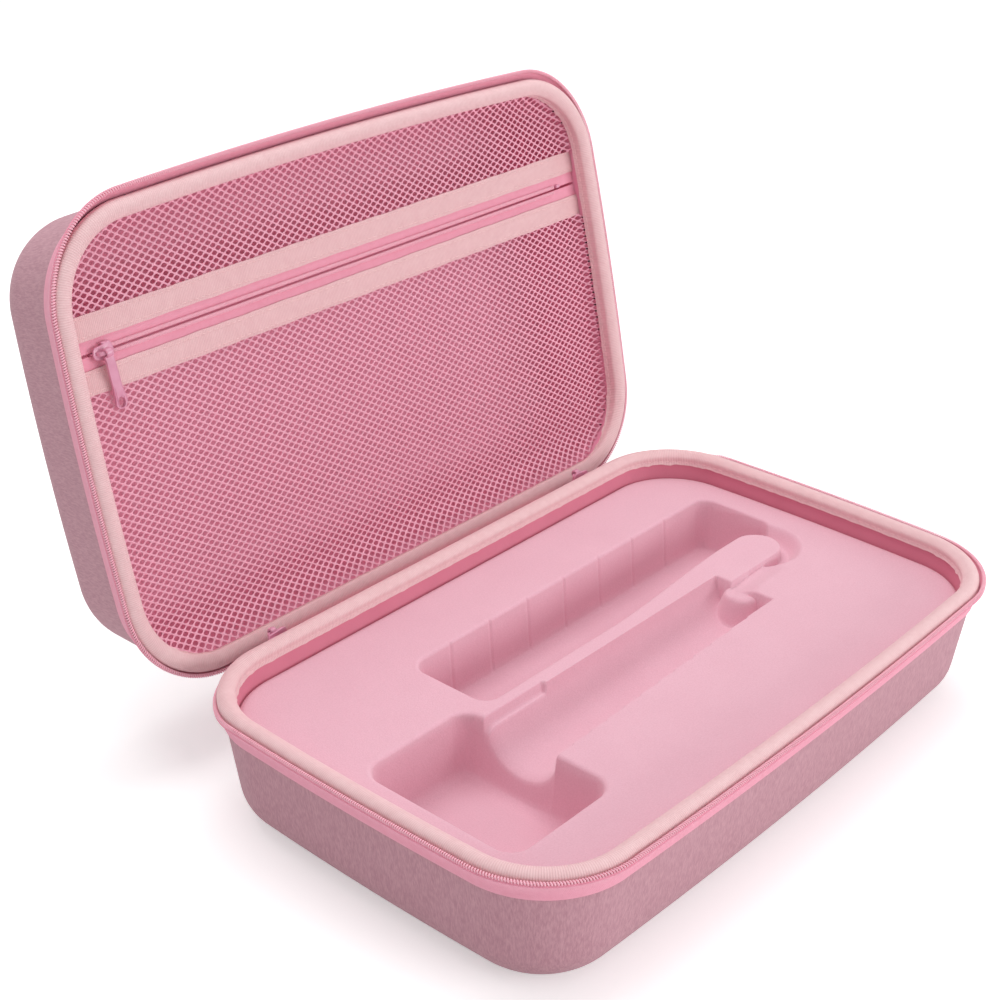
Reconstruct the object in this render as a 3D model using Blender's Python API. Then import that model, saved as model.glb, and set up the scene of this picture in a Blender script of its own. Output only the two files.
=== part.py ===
"""Zip-up hard case for a hair styling device, standing open.

Two moulded fabric-covered shells share one rim outline. Each shell has a
lining, a folded binding over its rim and a zip tape with its coil outside.
The base holds a moulded insert tray, the lid a net pocket behind a zip.
The lid turns on the fold of a fabric hinge strip along the back.

Units are metres, +Z is up, +X runs along the hinge. The origin is the middle
of the base's underside.
"""

import math

import bmesh
import bpy
from mathutils import Matrix, Vector
from mathutils.geometry import tessellate_polygon

# Rim outline, measured along the crest of the binding
RIM_LENGTH = 0.340
RIM_DEPTH = 0.210
CORNER_RADIUS = 0.042
FRONT_BOW = 0.0025
END_BOW = 0.0012
CORNER_STEPS = 7
LONG_SIDE_STEPS = 6
SHORT_SIDE_STEPS = 4

# Shells: heights run from the crest of the binding to the flat outer face
BASE_HEIGHT = 0.066
LID_HEIGHT = 0.063
WALL_DRAFT = 0.006
BOTTOM_RADIUS = 0.021
SHELL_OUT = 0.0022
SHELL_TOP = 0.0014
SHELL_WALL = 0.0038
SHELL_EDGE = 0.0008
LINING_TOP = 0.0024
LINING_WALL = 0.0008
GAP = 0.0003
BEND_STEPS = 4

# Binding folded over the rim
BINDING_WALL = 0.0009
BINDING_ARCH = 0.0030
BINDING_OUTER_LEG = 0.0050
BINDING_INNER_LEG = 0.0105
ARCH_STEPS = 5

# Main zip: tape sewn to the wall, flaring out to its coil
TAPE_WALL = 0.0009
TAPE_FOOT = 0.0130
TAPE_BEND = 0.0080
TAPE_TOP = 0.0033
COIL_OUT = 0.0055
COIL_RADIUS = 0.0009
COIL_SIDES = 6

# Hinge strip and opening
OPEN_ANGLE = math.radians(103)
HINGE_OUT = 0.0040
HINGE_DROP = 0.0140
HINGE_FROM_CORNER = 0.028
HINGE_LENGTH = RIM_LENGTH - 2 * (CORNER_RADIUS + HINGE_FROM_CORNER)
ZIP_FROM_HINGE = 0.005
ZIP_END = HINGE_LENGTH / 2 + ZIP_FROM_HINGE
STRIP_WALL = 0.0010
STRIP_CLEAR_OF_LID_RIM = 0.0070
STRIP_SEAT = 0.0140
STRIP_HEM = 0.0260
FOLD_DROP = 0.0012
FOLD_INSET = 0.0008
FOLD_RUN = 0.0045
CLOSED_GAP = 0.0004

# Insert tray
INSERT_DROP = 0.0140
INSERT_WALL = 0.0025
INSERT_EDGE = 0.0030
EDGE_STEPS = 3
CUT_OVERRUN = 0.004
OUTLINE_STEPS = 4
CHANNEL_LEFT = -0.076
CHANNEL_FROM_END = 0.022
CHANNEL_RIGHT = RIM_LENGTH / 2 - CHANNEL_FROM_END
CHANNEL_FRONT = 0.0135
CHANNEL_BACK = 0.0595
CHANNEL_DEEP = 0.028
CHANNEL_CORNER = 0.008
CAVITY_DRAFT = 0.0025
CAVITY_FLOOR_RADIUS = 0.004
GROOVE_COUNT = 7
GROOVE_FIRST = -0.050
GROOVE_PITCH = 0.0273
GROOVE_WIDTH = 0.0020
GROOVE_DEEP = 0.0010
POCKET_FROM_END = 0.019
POCKET_LEFT = POCKET_FROM_END - RIM_LENGTH / 2
POCKET_RIGHT = -0.086
POCKET_FRONT = -0.064
POCKET_BACK = 0.021
POCKET_DEEP = 0.032
POCKET_CORNER = 0.010
TROUGH_FRONT = -0.033
TROUGH_HEAD_BACK = 0.018
TROUGH_HANDLE_BACK = 0.004
TROUGH_HEAD_END = -0.080
TROUGH_NECK_END = -0.044
TROUGH_END = 0.077
TROUGH_STEPS = 10
NOTCH_LEFT = -0.079
NOTCH_RIGHT = -0.046
NOTCH_BACK = 0.0085
NOTCH_DEEP = 0.005
BOSS_X = 0.0765
BOSS_Y = -0.0160
BOSS_RADIUS = 0.011
BOSS_STEPS = 12
CORD_PATH_DEEP = 0.003
CORD_PATH_WIDTH = 0.0105
CORD_PATH_STEPS = 10
NOSE_FROM_CHANNEL_END = 0.0265
NOSE_X = CHANNEL_RIGHT - NOSE_FROM_CHANNEL_END
NOSE_Y = 0.008
NOSE_RADIUS = 0.0125

# Lid pocket: net, trims and its zip, placed up the lid from the hinge side
NET_DROP = 0.0116
NET_WALL = 0.0006
TRIM_DROP = 0.0108
TRIM_WALL = 0.0005
BAND_CENTRE = 0.152
TRIM_WIDTH = 0.011
POCKET_ZIP_WIDTH = 0.0125
TAPE_UNDER_TRIM = 0.002
NET_PITCH = 0.020
NET_STRAND = 0.0057
SLOT_HALF = 0.0007
CHAIN_HALF = 0.0022
CHAIN_HEIGHT = 0.0016
CHAIN_FROM_END = 0.020
CHAIN_END = RIM_LENGTH / 2 - CHAIN_FROM_END
TOOTH_PITCH = 0.006
TOOTH_DEEP = 0.0005
STOP_LENGTH = 0.0025

# Sliders and pulls
SLIDER_LENGTH = 0.011
SLIDER_WIDTH = 0.0084
SLIDER_NOSE = 0.0056
PLATE = 0.0010
SLIDER_LIP = 0.0006
POST_LENGTH = 0.003
POST_HALF = 0.0004
ARCH_SPAN = 0.0076
ARCH_RISE = 0.0030
ARCH_WIRE = 0.0007
WIRE_SIDES = 6
PULL_LENGTH = 0.027
MAIN_PULL_LENGTH = 0.018
PULL_TOP_WIDTH = 0.0034
PULL_TIP_WIDTH = 0.0062
PULL_WALL = 0.0015
PULL_HOLE_WIDTH = 0.0028
PULL_HOLE_LENGTH = 0.0046
EYE_CLEARANCE = 0.0004
EYE_WALL = 0.0009
EYE_WIDTH = 0.0030
PULL_STEPS = 8
POCKET_SLIDER_FROM_END = 0.0165
POCKET_SLIDER_X = POCKET_SLIDER_FROM_END - RIM_LENGTH / 2
MAIN_SLIDER_DROP = 0.0043
MAIN_LIP_DEEP = 0.0028


def srgb(red, green, blue):
    """A colour picked as 0 to 255, as the linear colour that a shader takes."""
    shares = [value / 255 for value in (red, green, blue)]
    return [s / 12.92 if s <= 0.04045 else ((s + 0.055) / 1.055) ** 2.4 for s in shares] + [1.0]


def material(name, colour, roughness, metallic=0.0):
    made = bpy.data.materials.new(name)
    made.use_nodes = True
    shader = made.node_tree.nodes["Principled BSDF"]
    shader.inputs["Base Color"].default_value = colour
    shader.inputs["Roughness"].default_value = roughness
    shader.inputs["Metallic"].default_value = metallic
    made.diffuse_color = colour
    return made


def clear_scene():
    for thing in list(bpy.data.objects):
        bpy.data.objects.remove(thing, do_unlink=True)


def add_mesh(name, shape, look=None, parent=None, smooth=True):
    """Closes a bmesh into a named object, its faces turned outwards."""
    bmesh.ops.recalc_face_normals(shape, faces=shape.faces)
    mesh = bpy.data.meshes.new(name)
    shape.to_mesh(mesh)
    shape.free()
    if smooth:
        mesh.shade_smooth()
        mesh.set_sharp_from_angle(angle=math.radians(35))
    made = bpy.data.objects.new(name, mesh)
    bpy.context.scene.collection.objects.link(made)
    if look:
        mesh.materials.append(look)
    made.parent = parent
    return made


def skin(name, rings, closed=False, **more):
    """Joins rings of equally many points with quads, and caps both ends unless they meet."""
    shape = bmesh.new()
    rows = [[shape.verts.new(point) for point in ring] for ring in rings]
    spans = list(zip(rows, rows[1:]))
    if closed:
        spans.append((rows[-1], rows[0]))
    for first, second in spans:
        for a, b, c, d in zip(first, first[1:] + first[:1], second[1:] + second[:1], second):
            shape.faces.new((a, b, c, d))
    if not closed:
        shape.faces.new(rows[0][::-1])
        shape.faces.new(rows[-1])
    return add_mesh(name, shape, **more)


def plate(name, outline, holes, low, high, **more):
    """A flat plate between two heights, with an outline and holes given as (x, y) points."""
    loops = [list(loop) for loop in [outline, *holes]]
    flat = [[Vector((x, y, 0)) for x, y in loop] for loop in loops]
    shape = bmesh.new()
    sides = [[shape.verts.new((x, y, height)) for loop in loops for x, y in loop] for height in (low, high)]
    for triangle in tessellate_polygon(flat):
        for side in sides:
            shape.faces.new([side[index] for index in triangle])
    start = 0
    for loop in loops:
        count = len(loop)
        for step in range(count):
            a = start + step
            b = start + (step + 1) % count
            shape.faces.new((sides[0][a], sides[0][b], sides[1][b], sides[1][a]))
        start += count
    return add_mesh(name, shape, **more)


def helper(thing):
    thing.hide_render = True
    thing.display_type = "WIRE"
    return thing


def combine(target, other, operation):
    """A live Boolean with a second shape, which is kept as a wire helper."""
    step = target.modifiers.new(other.name, "BOOLEAN")
    step.operation = operation
    step.solver = "EXACT"
    step.object = helper(other)


def moved(points, x=0.0, y=0.0):
    return [(px + x, py + y) for px, py in points]


def arc(centre_x, centre_y, radius, start, end, steps):
    """Points of an arc, both ends included, angles in degrees."""
    angles = [math.radians(start + (end - start) * step / steps) for step in range(steps + 1)]
    return [(centre_x + radius * math.cos(a), centre_y + radius * math.sin(a)) for a in angles]


def rounded_box(left, right, front, back, radius, steps=OUTLINE_STEPS):
    points = arc(right - radius, front + radius, radius, -90, 0, steps)
    points += arc(right - radius, back - radius, radius, 0, 90, steps)
    points += arc(left + radius, back - radius, radius, 90, 180, steps)
    points += arc(left + radius, front + radius, radius, 180, 270, steps)
    return points


# The rim's outline

def side_run(start, end, outward, bow, steps):
    """Points between two corners, bowed outwards along a parabola."""
    run = []
    for step in range(1, steps):
        share = step / steps
        swell = bow * 4 * share * (1 - share)
        run.append((start.lerp(end, share) + outward * swell, outward))
    return run


def rim_loop():
    """(point, outward normal) pairs round the rim, from the middle of the back by the left end."""
    half_x = RIM_LENGTH / 2
    half_y = RIM_DEPTH / 2
    inner_x = half_x - CORNER_RADIUS
    inner_y = half_y - CORNER_RADIUS
    corners = []
    for sign_x, sign_y, start in ((-1, 1, 90), (-1, -1, 180), (1, -1, 270), (1, 1, 0)):
        centre = Vector((sign_x * inner_x, sign_y * inner_y))
        corner = []
        for step in range(CORNER_STEPS + 1):
            angle = math.radians(start + 90 * step / CORNER_STEPS)
            normal = Vector((math.cos(angle), math.sin(angle)))
            corner.append((centre + normal * CORNER_RADIUS, normal))
        corners.append(corner)
    left = side_run(corners[0][-1][0], corners[1][0][0], Vector((-1, 0)), END_BOW, SHORT_SIDE_STEPS)
    front = side_run(corners[1][-1][0], corners[2][0][0], Vector((0, -1)), FRONT_BOW, LONG_SIDE_STEPS)
    right = side_run(corners[2][-1][0], corners[3][0][0], Vector((1, 0)), END_BOW, SHORT_SIDE_STEPS)
    back = side_run(corners[3][-1][0], corners[0][0][0], Vector((0, 1)), 0, LONG_SIDE_STEPS)
    return [*corners[0], *left, *corners[1], *front, *corners[2], *right, *corners[3], *back]


def rim_run(end_x):
    """The open run of the rim from the back at -end_x, round the front, to the back at +end_x."""
    back = RIM_DEPTH / 2
    up = Vector((0, 1))
    run = [(point, normal) for point, normal in rim_loop() if not (normal.y == 1 and abs(point.x) < RIM_LENGTH / 2 - CORNER_RADIUS)]
    first = (Vector((-end_x, back)), up)
    last = (Vector((end_x, back)), up)
    return [first, *run, last]


def draft_angle(height):
    return math.atan2(WALL_DRAFT, height - BOTTOM_RADIUS - SHELL_TOP)


def wall_offset(inset, drop, height):
    """How far outwards of the crest line the wall lies, inset into its thickness, at a drop below the crest."""
    lean = draft_angle(height)
    return SHELL_OUT - inset / math.cos(lean) - math.tan(lean) * (drop - SHELL_TOP)


def wall_profile(inset, height, top, bend_steps=BEND_STEPS):
    """(outwards, drop) points down a wall and round its bottom bend."""
    lean = draft_angle(height)
    centre_drop = height - BOTTOM_RADIUS
    start_drop = centre_drop + BOTTOM_RADIUS * math.sin(lean)
    start_out = wall_offset(0, start_drop, height)
    centre_out = start_out - BOTTOM_RADIUS * math.cos(lean)
    radius = BOTTOM_RADIUS - inset
    points = [(wall_offset(inset, top, height), top)]
    for step in range(bend_steps + 1):
        angle = lean + (math.pi / 2 - lean) * step / bend_steps
        points.append((centre_out + radius * math.cos(angle), centre_drop + radius * math.sin(angle)))
    return points


class Half:
    """One half of the case: where its crest plane lies, and which way its depth runs."""

    def __init__(self, name, height, crest, downwards, parent=None, origin=(0, 0, 0)):
        self.name = name
        self.height = height
        self.crest = crest
        self.downwards = downwards
        self.parent = parent
        self.origin = Vector(origin)

    def place(self, rim_point, outwards, drop):
        point, normal = rim_point
        flat = point + normal * outwards
        return Vector((flat.x, flat.y, self.level(drop))) - self.origin

    def level(self, drop):
        return self.crest - self.downwards * drop

    def ring(self, outwards, drop):
        return [self.place(rim_point, outwards, drop) for rim_point in rim_loop()]

    def tub(self, piece, outer, inner, look):
        """An open tub between an outer and an inner profile."""
        rings = [self.ring(*point) for point in outer[::-1] + inner]
        return skin(f"{self.name}_{piece}", rings, look=look, parent=self.parent)

    def sweep(self, piece, profile, run, closed, look):
        rings = [[self.place(rim_point, *point) for point in profile] for rim_point in run]
        return skin(f"{self.name}_{piece}", rings, closed=closed, look=look, parent=self.parent)


# Pieces that both halves have

def make_shell(half, look):
    outer = wall_profile(0, half.height, SHELL_TOP + SHELL_EDGE)
    outer.insert(0, (SHELL_OUT - SHELL_EDGE, SHELL_TOP))
    inner = wall_profile(SHELL_WALL, half.height, SHELL_TOP)
    half.tub("shell", outer, inner, look)


def make_lining(half, look):
    outer = wall_profile(SHELL_WALL + GAP, half.height, LINING_TOP)
    inner = wall_profile(SHELL_WALL + GAP + LINING_WALL, half.height, LINING_TOP)
    half.tub("lining", outer, inner, look)


def lining_face():
    return SHELL_WALL + GAP + LINING_WALL


def make_binding(half, look):
    """A U folded over the rim: short leg outside, long leg inside along the lining's slope."""
    outside = SHELL_OUT + GAP
    face = lining_face() + GAP

    def inside(thickness, drop):
        return wall_offset(face + thickness, drop, half.height)

    left = inside(BINDING_WALL, BINDING_ARCH)
    right = outside + BINDING_WALL
    middle = (left + right) / 2
    reach = (right - left) / 2
    arch = []
    for step in range(ARCH_STEPS + 1):
        angle = math.pi * step / ARCH_STEPS
        arch.append((middle + reach * math.cos(angle), BINDING_ARCH * (1 - math.sin(angle))))
    under = SHELL_TOP - GAP
    outer_shoulder = (outside, under + BINDING_WALL)
    inner_shoulder = (inside(0, under + BINDING_WALL), under + BINDING_WALL)
    profile = [(outside, BINDING_OUTER_LEG), (right, BINDING_OUTER_LEG), *arch]
    profile += [(inside(BINDING_WALL, BINDING_INNER_LEG), BINDING_INNER_LEG), (inside(0, BINDING_INNER_LEG), BINDING_INNER_LEG)]
    profile += [inner_shoulder, (inner_shoulder[0] + BINDING_WALL, under), (outside - BINDING_WALL, under), outer_shoulder]
    half.sweep("binding", profile, rim_loop(), True, look)


def tape_profile(height):
    """The tape lies on the wall up to its bend, then flares out to just under the coil."""
    seat = GAP + TAPE_WALL / 2
    centres = [(wall_offset(-seat, TAPE_FOOT, height), TAPE_FOOT), (wall_offset(-seat, TAPE_BEND, height), TAPE_BEND), (COIL_OUT, TAPE_TOP)]
    half_wall = TAPE_WALL / 2
    return [(out - half_wall, drop) for out, drop in centres] + [(out + half_wall, drop) for out, drop in centres[::-1]]


def make_zip(half, tape_look, coil_look):
    run = rim_run(ZIP_END)
    half.sweep("zip_tape", tape_profile(half.height), run, False, tape_look)
    coil_drop = TAPE_TOP - GAP - COIL_RADIUS
    profile = arc(COIL_OUT, coil_drop, COIL_RADIUS, 0, 360, COIL_SIDES)[:-1]
    half.sweep("zip_coil", profile, run, False, coil_look)


# The moulded insert

def grown(outline, amount):
    """An outline pushed out along its corners' normals by an amount, or in by a negative one."""
    count = len(outline)
    points = [Vector(point) for point in outline]
    made = []
    for index, point in enumerate(points):
        along = (points[(index + 1) % count] - points[index - 1]).normalized()
        made.append(point + Vector((along.y, -along.x)) * amount)
    return [(point.x, point.y) for point in made]


def cavity(name, outline, deep, top, grow=0.0):
    """A cutter for a drafted hollow with a rounded floor, grown on all sides for the tray's underside."""
    floor_radius = CAVITY_FLOOR_RADIUS + grow
    steps = [(grow, CUT_OVERRUN), (grow, 0.0), (grow - CAVITY_DRAFT, floor_radius - deep - grow)]
    for step in range(1, BEND_STEPS):
        angle = math.pi / 2 * step / (BEND_STEPS - 1)
        steps.append((grow - CAVITY_DRAFT - floor_radius * (1 - math.cos(angle)), floor_radius * (1 - math.sin(angle)) - deep - grow))
    rings = [[(x, y, top + height) for x, y in grown(outline, push)] for push, height in steps]
    return helper(skin(name, rings))


def trough_section(x, back, top, grow):
    """A half-round section across the trough, from its front rim to its back rim, closed above."""
    centre = (TROUGH_FRONT + back) / 2
    radius = (back - TROUGH_FRONT) / 2 + grow
    points = arc(centre, 0, radius, 180, 360, TROUGH_STEPS)
    closing = [(centre + radius, CUT_OVERRUN), (centre - radius, CUT_OVERRUN)]
    return [(x, y, top + z) for y, z in points + closing]


def trough(name, top, grow=0.0):
    """The handle's cradle: a half-round that tapers from the head to the handle."""
    stations = [(POCKET_RIGHT - POCKET_CORNER, TROUGH_HEAD_BACK), (TROUGH_HEAD_END, TROUGH_HEAD_BACK)]
    stations += [(TROUGH_NECK_END, TROUGH_HANDLE_BACK), (TROUGH_END + grow, TROUGH_HANDLE_BACK)]
    rings = [trough_section(x, back, top, grow) for x, back in stations]
    return helper(skin(name, rings))


def cord_path_outline():
    """The shallow path for a cord, from the boss round the nose to the back channel."""
    inner = NOSE_RADIUS
    outer = NOSE_RADIUS + CORD_PATH_WIDTH
    round_outer = arc(NOSE_X, NOSE_Y, outer, -90, 30, CORD_PATH_STEPS)
    round_inner = arc(NOSE_X, NOSE_Y, inner, 45, -90, CORD_PATH_STEPS)
    start = BOSS_X - BOSS_RADIUS - GAP
    return [(start, NOSE_Y - outer), *round_outer, *round_inner, (start, NOSE_Y - inner)]


def rounded_edge(profile):
    """The tray's outer profile with its upper edge rounded over on to the flat top."""
    side = profile[0][0]
    turns = [math.pi / 2 * step / EDGE_STEPS for step in range(EDGE_STEPS)]
    edge = [(side - INSERT_EDGE * (1 - math.sin(t)), INSERT_DROP + INSERT_EDGE * (1 - math.cos(t))) for t in turns]
    return edge + profile


def make_insert(base, look):
    top = base.level(INSERT_DROP)
    inset = lining_face() + GAP
    outer = rounded_edge(wall_profile(inset, base.height, INSERT_DROP + INSERT_EDGE))
    tray = skin("insert_tray", [base.ring(*point) for point in outer], look=look)
    channel = rounded_box(CHANNEL_LEFT, CHANNEL_RIGHT, CHANNEL_FRONT, CHANNEL_BACK, CHANNEL_CORNER)
    head = rounded_box(POCKET_LEFT, POCKET_RIGHT, POCKET_FRONT, POCKET_BACK, POCKET_CORNER)

    void = wall_profile(inset + INSERT_WALL, base.height, INSERT_DROP + INSERT_WALL)
    below = (void[-1][0], base.height)
    underside = helper(skin("underside_cutter", [base.ring(*point) for point in [*void, below]]))
    combine(underside, cavity("channel_skin", channel, CHANNEL_DEEP, top, INSERT_WALL), "DIFFERENCE")
    combine(underside, cavity("head_pocket_skin", head, POCKET_DEEP, top, INSERT_WALL), "DIFFERENCE")
    combine(underside, trough("trough_skin", top, INSERT_WALL), "DIFFERENCE")
    path_skin = grown(cord_path_outline(), INSERT_WALL)
    combine(underside, plate("cord_path_skin", path_skin, [], top - CORD_PATH_DEEP - INSERT_WALL, top), "DIFFERENCE")
    notch_skin = grown(notch_outline(), INSERT_WALL)
    combine(underside, plate("notch_skin", notch_skin, [], top - NOTCH_DEEP - INSERT_WALL, top), "DIFFERENCE")

    cradle = trough("trough_cutter", top)
    boss = arc(BOSS_X, BOSS_Y, BOSS_RADIUS, 0, 360, BOSS_STEPS)[:-1]
    boss_top = top - CORD_PATH_DEEP
    boss_solid = plate("boss", boss, [], base.level(base.height), boss_top)
    combine(cradle, boss_solid, "DIFFERENCE")
    for cutter in (
        cavity("channel_cutter", channel, CHANNEL_DEEP, top),
        cavity("head_pocket_cutter", head, POCKET_DEEP, top),
        cradle,
        plate("cord_path_cutter", cord_path_outline(), [], top - CORD_PATH_DEEP, top + CUT_OVERRUN),
        plate("notch_cutter", notch_outline(), [], top - NOTCH_DEEP, top + CUT_OVERRUN),
        underside,
    ):
        combine(tray, cutter, "DIFFERENCE")
    for index in range(GROOVE_COUNT):
        combine(tray, groove_cutter(index, top), "DIFFERENCE")


def notch_outline():
    reach = TROUGH_HANDLE_BACK - CUT_OVERRUN
    return [(NOTCH_LEFT, reach), (NOTCH_RIGHT, reach), (NOTCH_RIGHT, NOTCH_BACK), (NOTCH_LEFT, NOTCH_BACK)]


def groove_cutter(index, top):
    """One upright groove in the back wall of the channel, following the wall's draft."""
    centre = GROOVE_FIRST + GROOVE_PITCH * index
    low = -(CHANNEL_DEEP - CAVITY_FLOOR_RADIUS)
    back = CHANNEL_BACK + GROOVE_DEEP
    rings = []
    for height, wall in ((CUT_OVERRUN, back), (low, back - CAVITY_DRAFT)):
        left = centre - GROOVE_WIDTH / 2
        right = centre + GROOVE_WIDTH / 2
        front = wall - CHANNEL_CORNER
        rings.append([(left, front, top + height), (right, front, top + height), (right, wall, top + height), (left, wall, top + height)])
    return helper(skin(f"groove_cutter_{index + 1}", rings))


# The lid's pocket

def lid_y(up):
    """Where a line lies that is this far up the open lid from its rim at the hinge."""
    return RIM_DEPTH / 2 - up


def across_outline(outwards, low_y, high_y):
    """The rim's outline at an offset, kept between two lines across the case."""
    loop = [point + normal * outwards for point, normal in rim_loop()]
    kept = []
    for here, after in zip(loop, loop[1:] + loop[:1]):
        if low_y <= here.y <= high_y:
            kept.append((here.x, here.y))
        crossings = [line for line in (low_y, high_y) if (here.y - line) * (after.y - line) < 0]
        crossings.sort(key=lambda line: abs(line - here.y))
        for line in crossings:
            share = (line - here.y) / (after.y - here.y)
            kept.append((here.x + (after.x - here.x) * share, line))
    return kept


def net_holes(outline, low_y, high_y):
    """Diamond gaps on a staggered grid, those that lie wholly inside the panel."""
    reach = NET_PITCH / 2 - NET_STRAND / math.sqrt(2)
    half_x = max(x for x, _ in outline)
    columns = int(2 * half_x / NET_PITCH) + 1
    rows = int((high_y - low_y) / NET_PITCH * 2) + 1
    holes = []
    for row in range(rows + 1):
        y = low_y + NET_STRAND + reach + row * NET_PITCH / 2
        for column in range(-columns, columns + 1):
            x = (column + row % 2 / 2) * NET_PITCH
            diamond = [(x - reach, y), (x, y - reach), (x + reach, y), (x, y + reach)]
            if y + reach + NET_STRAND <= high_y and all(inside_outline(point, outline) for point in diamond):
                holes.append(diamond)
    return holes


def inside_outline(point, outline):
    """Whether a point lies inside a convex outline by at least a strand's width."""
    x, y = point
    for (ax, ay), (bx, by) in zip(outline, outline[1:] + outline[:1]):
        length = math.hypot(bx - ax, by - ay)
        if ((bx - ax) * (y - ay) - (by - ay) * (x - ax)) / length < NET_STRAND:
            return False
    return True


def lid_plate(lid, name, outline, holes, drop, wall, look):
    """A flat piece in the plane of the lid's net."""
    shifted = [moved(loop, -lid.origin.x, -lid.origin.y) for loop in [outline, *holes]]
    low, high = sorted((lid.level(drop) - lid.origin.z, lid.level(drop + wall) - lid.origin.z))
    return plate(name, shifted[0], shifted[1:], low, high, look=look, parent=lid.parent)


def make_pocket(lid, looks):
    out = wall_offset(lining_face() + GAP, NET_DROP + NET_WALL, lid.height)
    centre = lid_y(BAND_CENTRE)
    zip_half = POCKET_ZIP_WIDTH / 2
    far = -RIM_DEPTH
    near = RIM_DEPTH
    tape_reach = zip_half + TAPE_UNDER_TRIM
    trim_reach = zip_half + TRIM_WIDTH
    net_edge = tape_reach + GAP
    for side, low, high in (("upper", far, centre - net_edge), ("lower", centre + net_edge, near)):
        outline = across_outline(out, low, high)
        levels = [y for _, y in outline]
        holes = net_holes(outline, min(levels), max(levels))
        lid_plate(lid, f"pocket_net_{side}", outline, holes, NET_DROP, NET_WALL, looks["net"])
    for side, low, high in (("upper", -tape_reach, -SLOT_HALF), ("lower", SLOT_HALF, tape_reach)):
        outline = across_outline(out, centre + low, centre + high)
        lid_plate(lid, f"pocket_zip_tape_{side}", outline, [], NET_DROP, NET_WALL, looks["tape"])
    for side, low, high in (("upper", -trim_reach, -zip_half), ("lower", zip_half, trim_reach)):
        outline = across_outline(out, centre + low, centre + high)
        lid_plate(lid, f"pocket_trim_{side}", outline, [], TRIM_DROP, TRIM_WALL, looks["trim"])
    for side, sign in (("upper", -1), ("lower", 1)):
        outline = chain_outline(centre, sign)
        drop = NET_DROP - GAP - CHAIN_HEIGHT
        lid_plate(lid, f"pocket_coil_{side}", outline, [], drop, CHAIN_HEIGHT, looks["coil"])
    for side, sign in (("left", -1), ("right", 1)):
        x = sign * (CHAIN_END + GAP + STOP_LENGTH / 2)
        half_x = STOP_LENGTH / 2
        outline = [(x - half_x, centre - CHAIN_HALF), (x + half_x, centre - CHAIN_HALF)]
        outline += [(x + half_x, centre - SLOT_HALF), (x - half_x, centre - SLOT_HALF)]
        drop = NET_DROP - GAP - CHAIN_HEIGHT
        lid_plate(lid, f"pocket_zip_stop_{side}", outline, [], drop, CHAIN_HEIGHT, looks["metal"])


def chain_outline(centre, sign):
    """One side of the pocket's chain: a strip whose inner edge is notched into teeth."""
    count = int(2 * CHAIN_END / TOOTH_PITCH)
    pitch = 2 * CHAIN_END / count
    inner = []
    for tooth in range(count):
        x = -CHAIN_END + tooth * pitch
        inner += [(x, SLOT_HALF + TOOTH_DEEP), (x + pitch / 2, SLOT_HALF)]
    inner.append((CHAIN_END, SLOT_HALF + TOOTH_DEEP))
    outline = [(x, centre + sign * y) for x, y in inner]
    outline += [(CHAIN_END, centre + sign * CHAIN_HALF), (-CHAIN_END, centre + sign * CHAIN_HALF)]
    return outline[::-1] if sign < 0 else outline


# Sliders and pulls, modelled lying on a zip that runs along X, with +Z away from the tape

def arch_bar(name):
    """The slider's bridge: a wire that rises, runs along the zip and comes down again."""
    half_span = ARCH_SPAN / 2
    foot = -PLATE / 2
    path = [Vector((-half_span, 0, foot))]
    path += [Vector((x, 0, z)) for x, z in arc(-half_span + ARCH_WIRE, ARCH_RISE - ARCH_WIRE, ARCH_WIRE, 180, 90, 2)]
    path += [Vector((x, 0, z)) for x, z in arc(half_span - ARCH_WIRE, ARCH_RISE - ARCH_WIRE, ARCH_WIRE, 90, 0, 2)]
    path.append(Vector((half_span, 0, foot)))
    rings = []
    for index, point in enumerate(path):
        along = (path[min(index + 1, len(path) - 1)] - path[max(index - 1, 0)]).normalized()
        across = along.cross(Vector((0, 1, 0)))
        turns = [2 * math.pi * step / WIRE_SIDES for step in range(WIRE_SIDES)]
        rings.append([point + across * (ARCH_WIRE * math.cos(t)) + Vector((0, 1, 0)) * (ARCH_WIRE * math.sin(t)) for t in turns])
    return skin(name, rings)


def slider_plate_outline():
    """A slider's plate seen from above: square at its tail, drawn in at its nose."""
    half = SLIDER_LENGTH / 2
    wide = SLIDER_WIDTH / 2
    nose = SLIDER_NOSE / 2
    chamfer = PLATE
    points = [(half - chamfer, -wide), (half, -wide + chamfer), (half, wide - chamfer), (half - chamfer, wide)]
    points += [(-chamfer, wide), (-half, nose), (-half, -nose), (-chamfer, -wide)]
    return points


def make_pull(name, length, look, parent, location, rotation):
    """A tapered pull with an oval hole, hung from a bridge by an eye, its origin on the bridge's axis."""
    bore = ARCH_WIRE + EYE_CLEARANCE
    rim = bore + EYE_WALL
    top = -bore - EYE_WALL / 2
    tip_radius = PULL_TIP_WIDTH / 2
    low = -length + tip_radius
    outline = [(PULL_TOP_WIDTH / 2, top), *arc(0, low, tip_radius, 0, -180, PULL_STEPS), (-PULL_TOP_WIDTH / 2, top)]
    turns = [2 * math.pi * step / PULL_STEPS for step in range(PULL_STEPS)]
    hole = [(PULL_HOLE_WIDTH / 2 * math.cos(t), low + PULL_HOLE_LENGTH / 2 * math.sin(t)) for t in turns]
    blade = plate(name, outline[::-1], [hole], -PULL_WALL / 2, PULL_WALL / 2, look=look, parent=parent)
    eye = plate(f"{name}_eye", arc(0, 0, rim, 0, 360, PULL_STEPS)[:-1], [arc(0, 0, bore, 0, 360, PULL_STEPS)[:-1]], -EYE_WIDTH / 2, EYE_WIDTH / 2)
    eye.data.transform(Matrix.Rotation(math.pi / 2, 4, "Y"))
    eye.parent = blade
    combine(blade, eye, "UNION")
    blade.location = location
    blade.rotation_euler = rotation
    return blade


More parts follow.
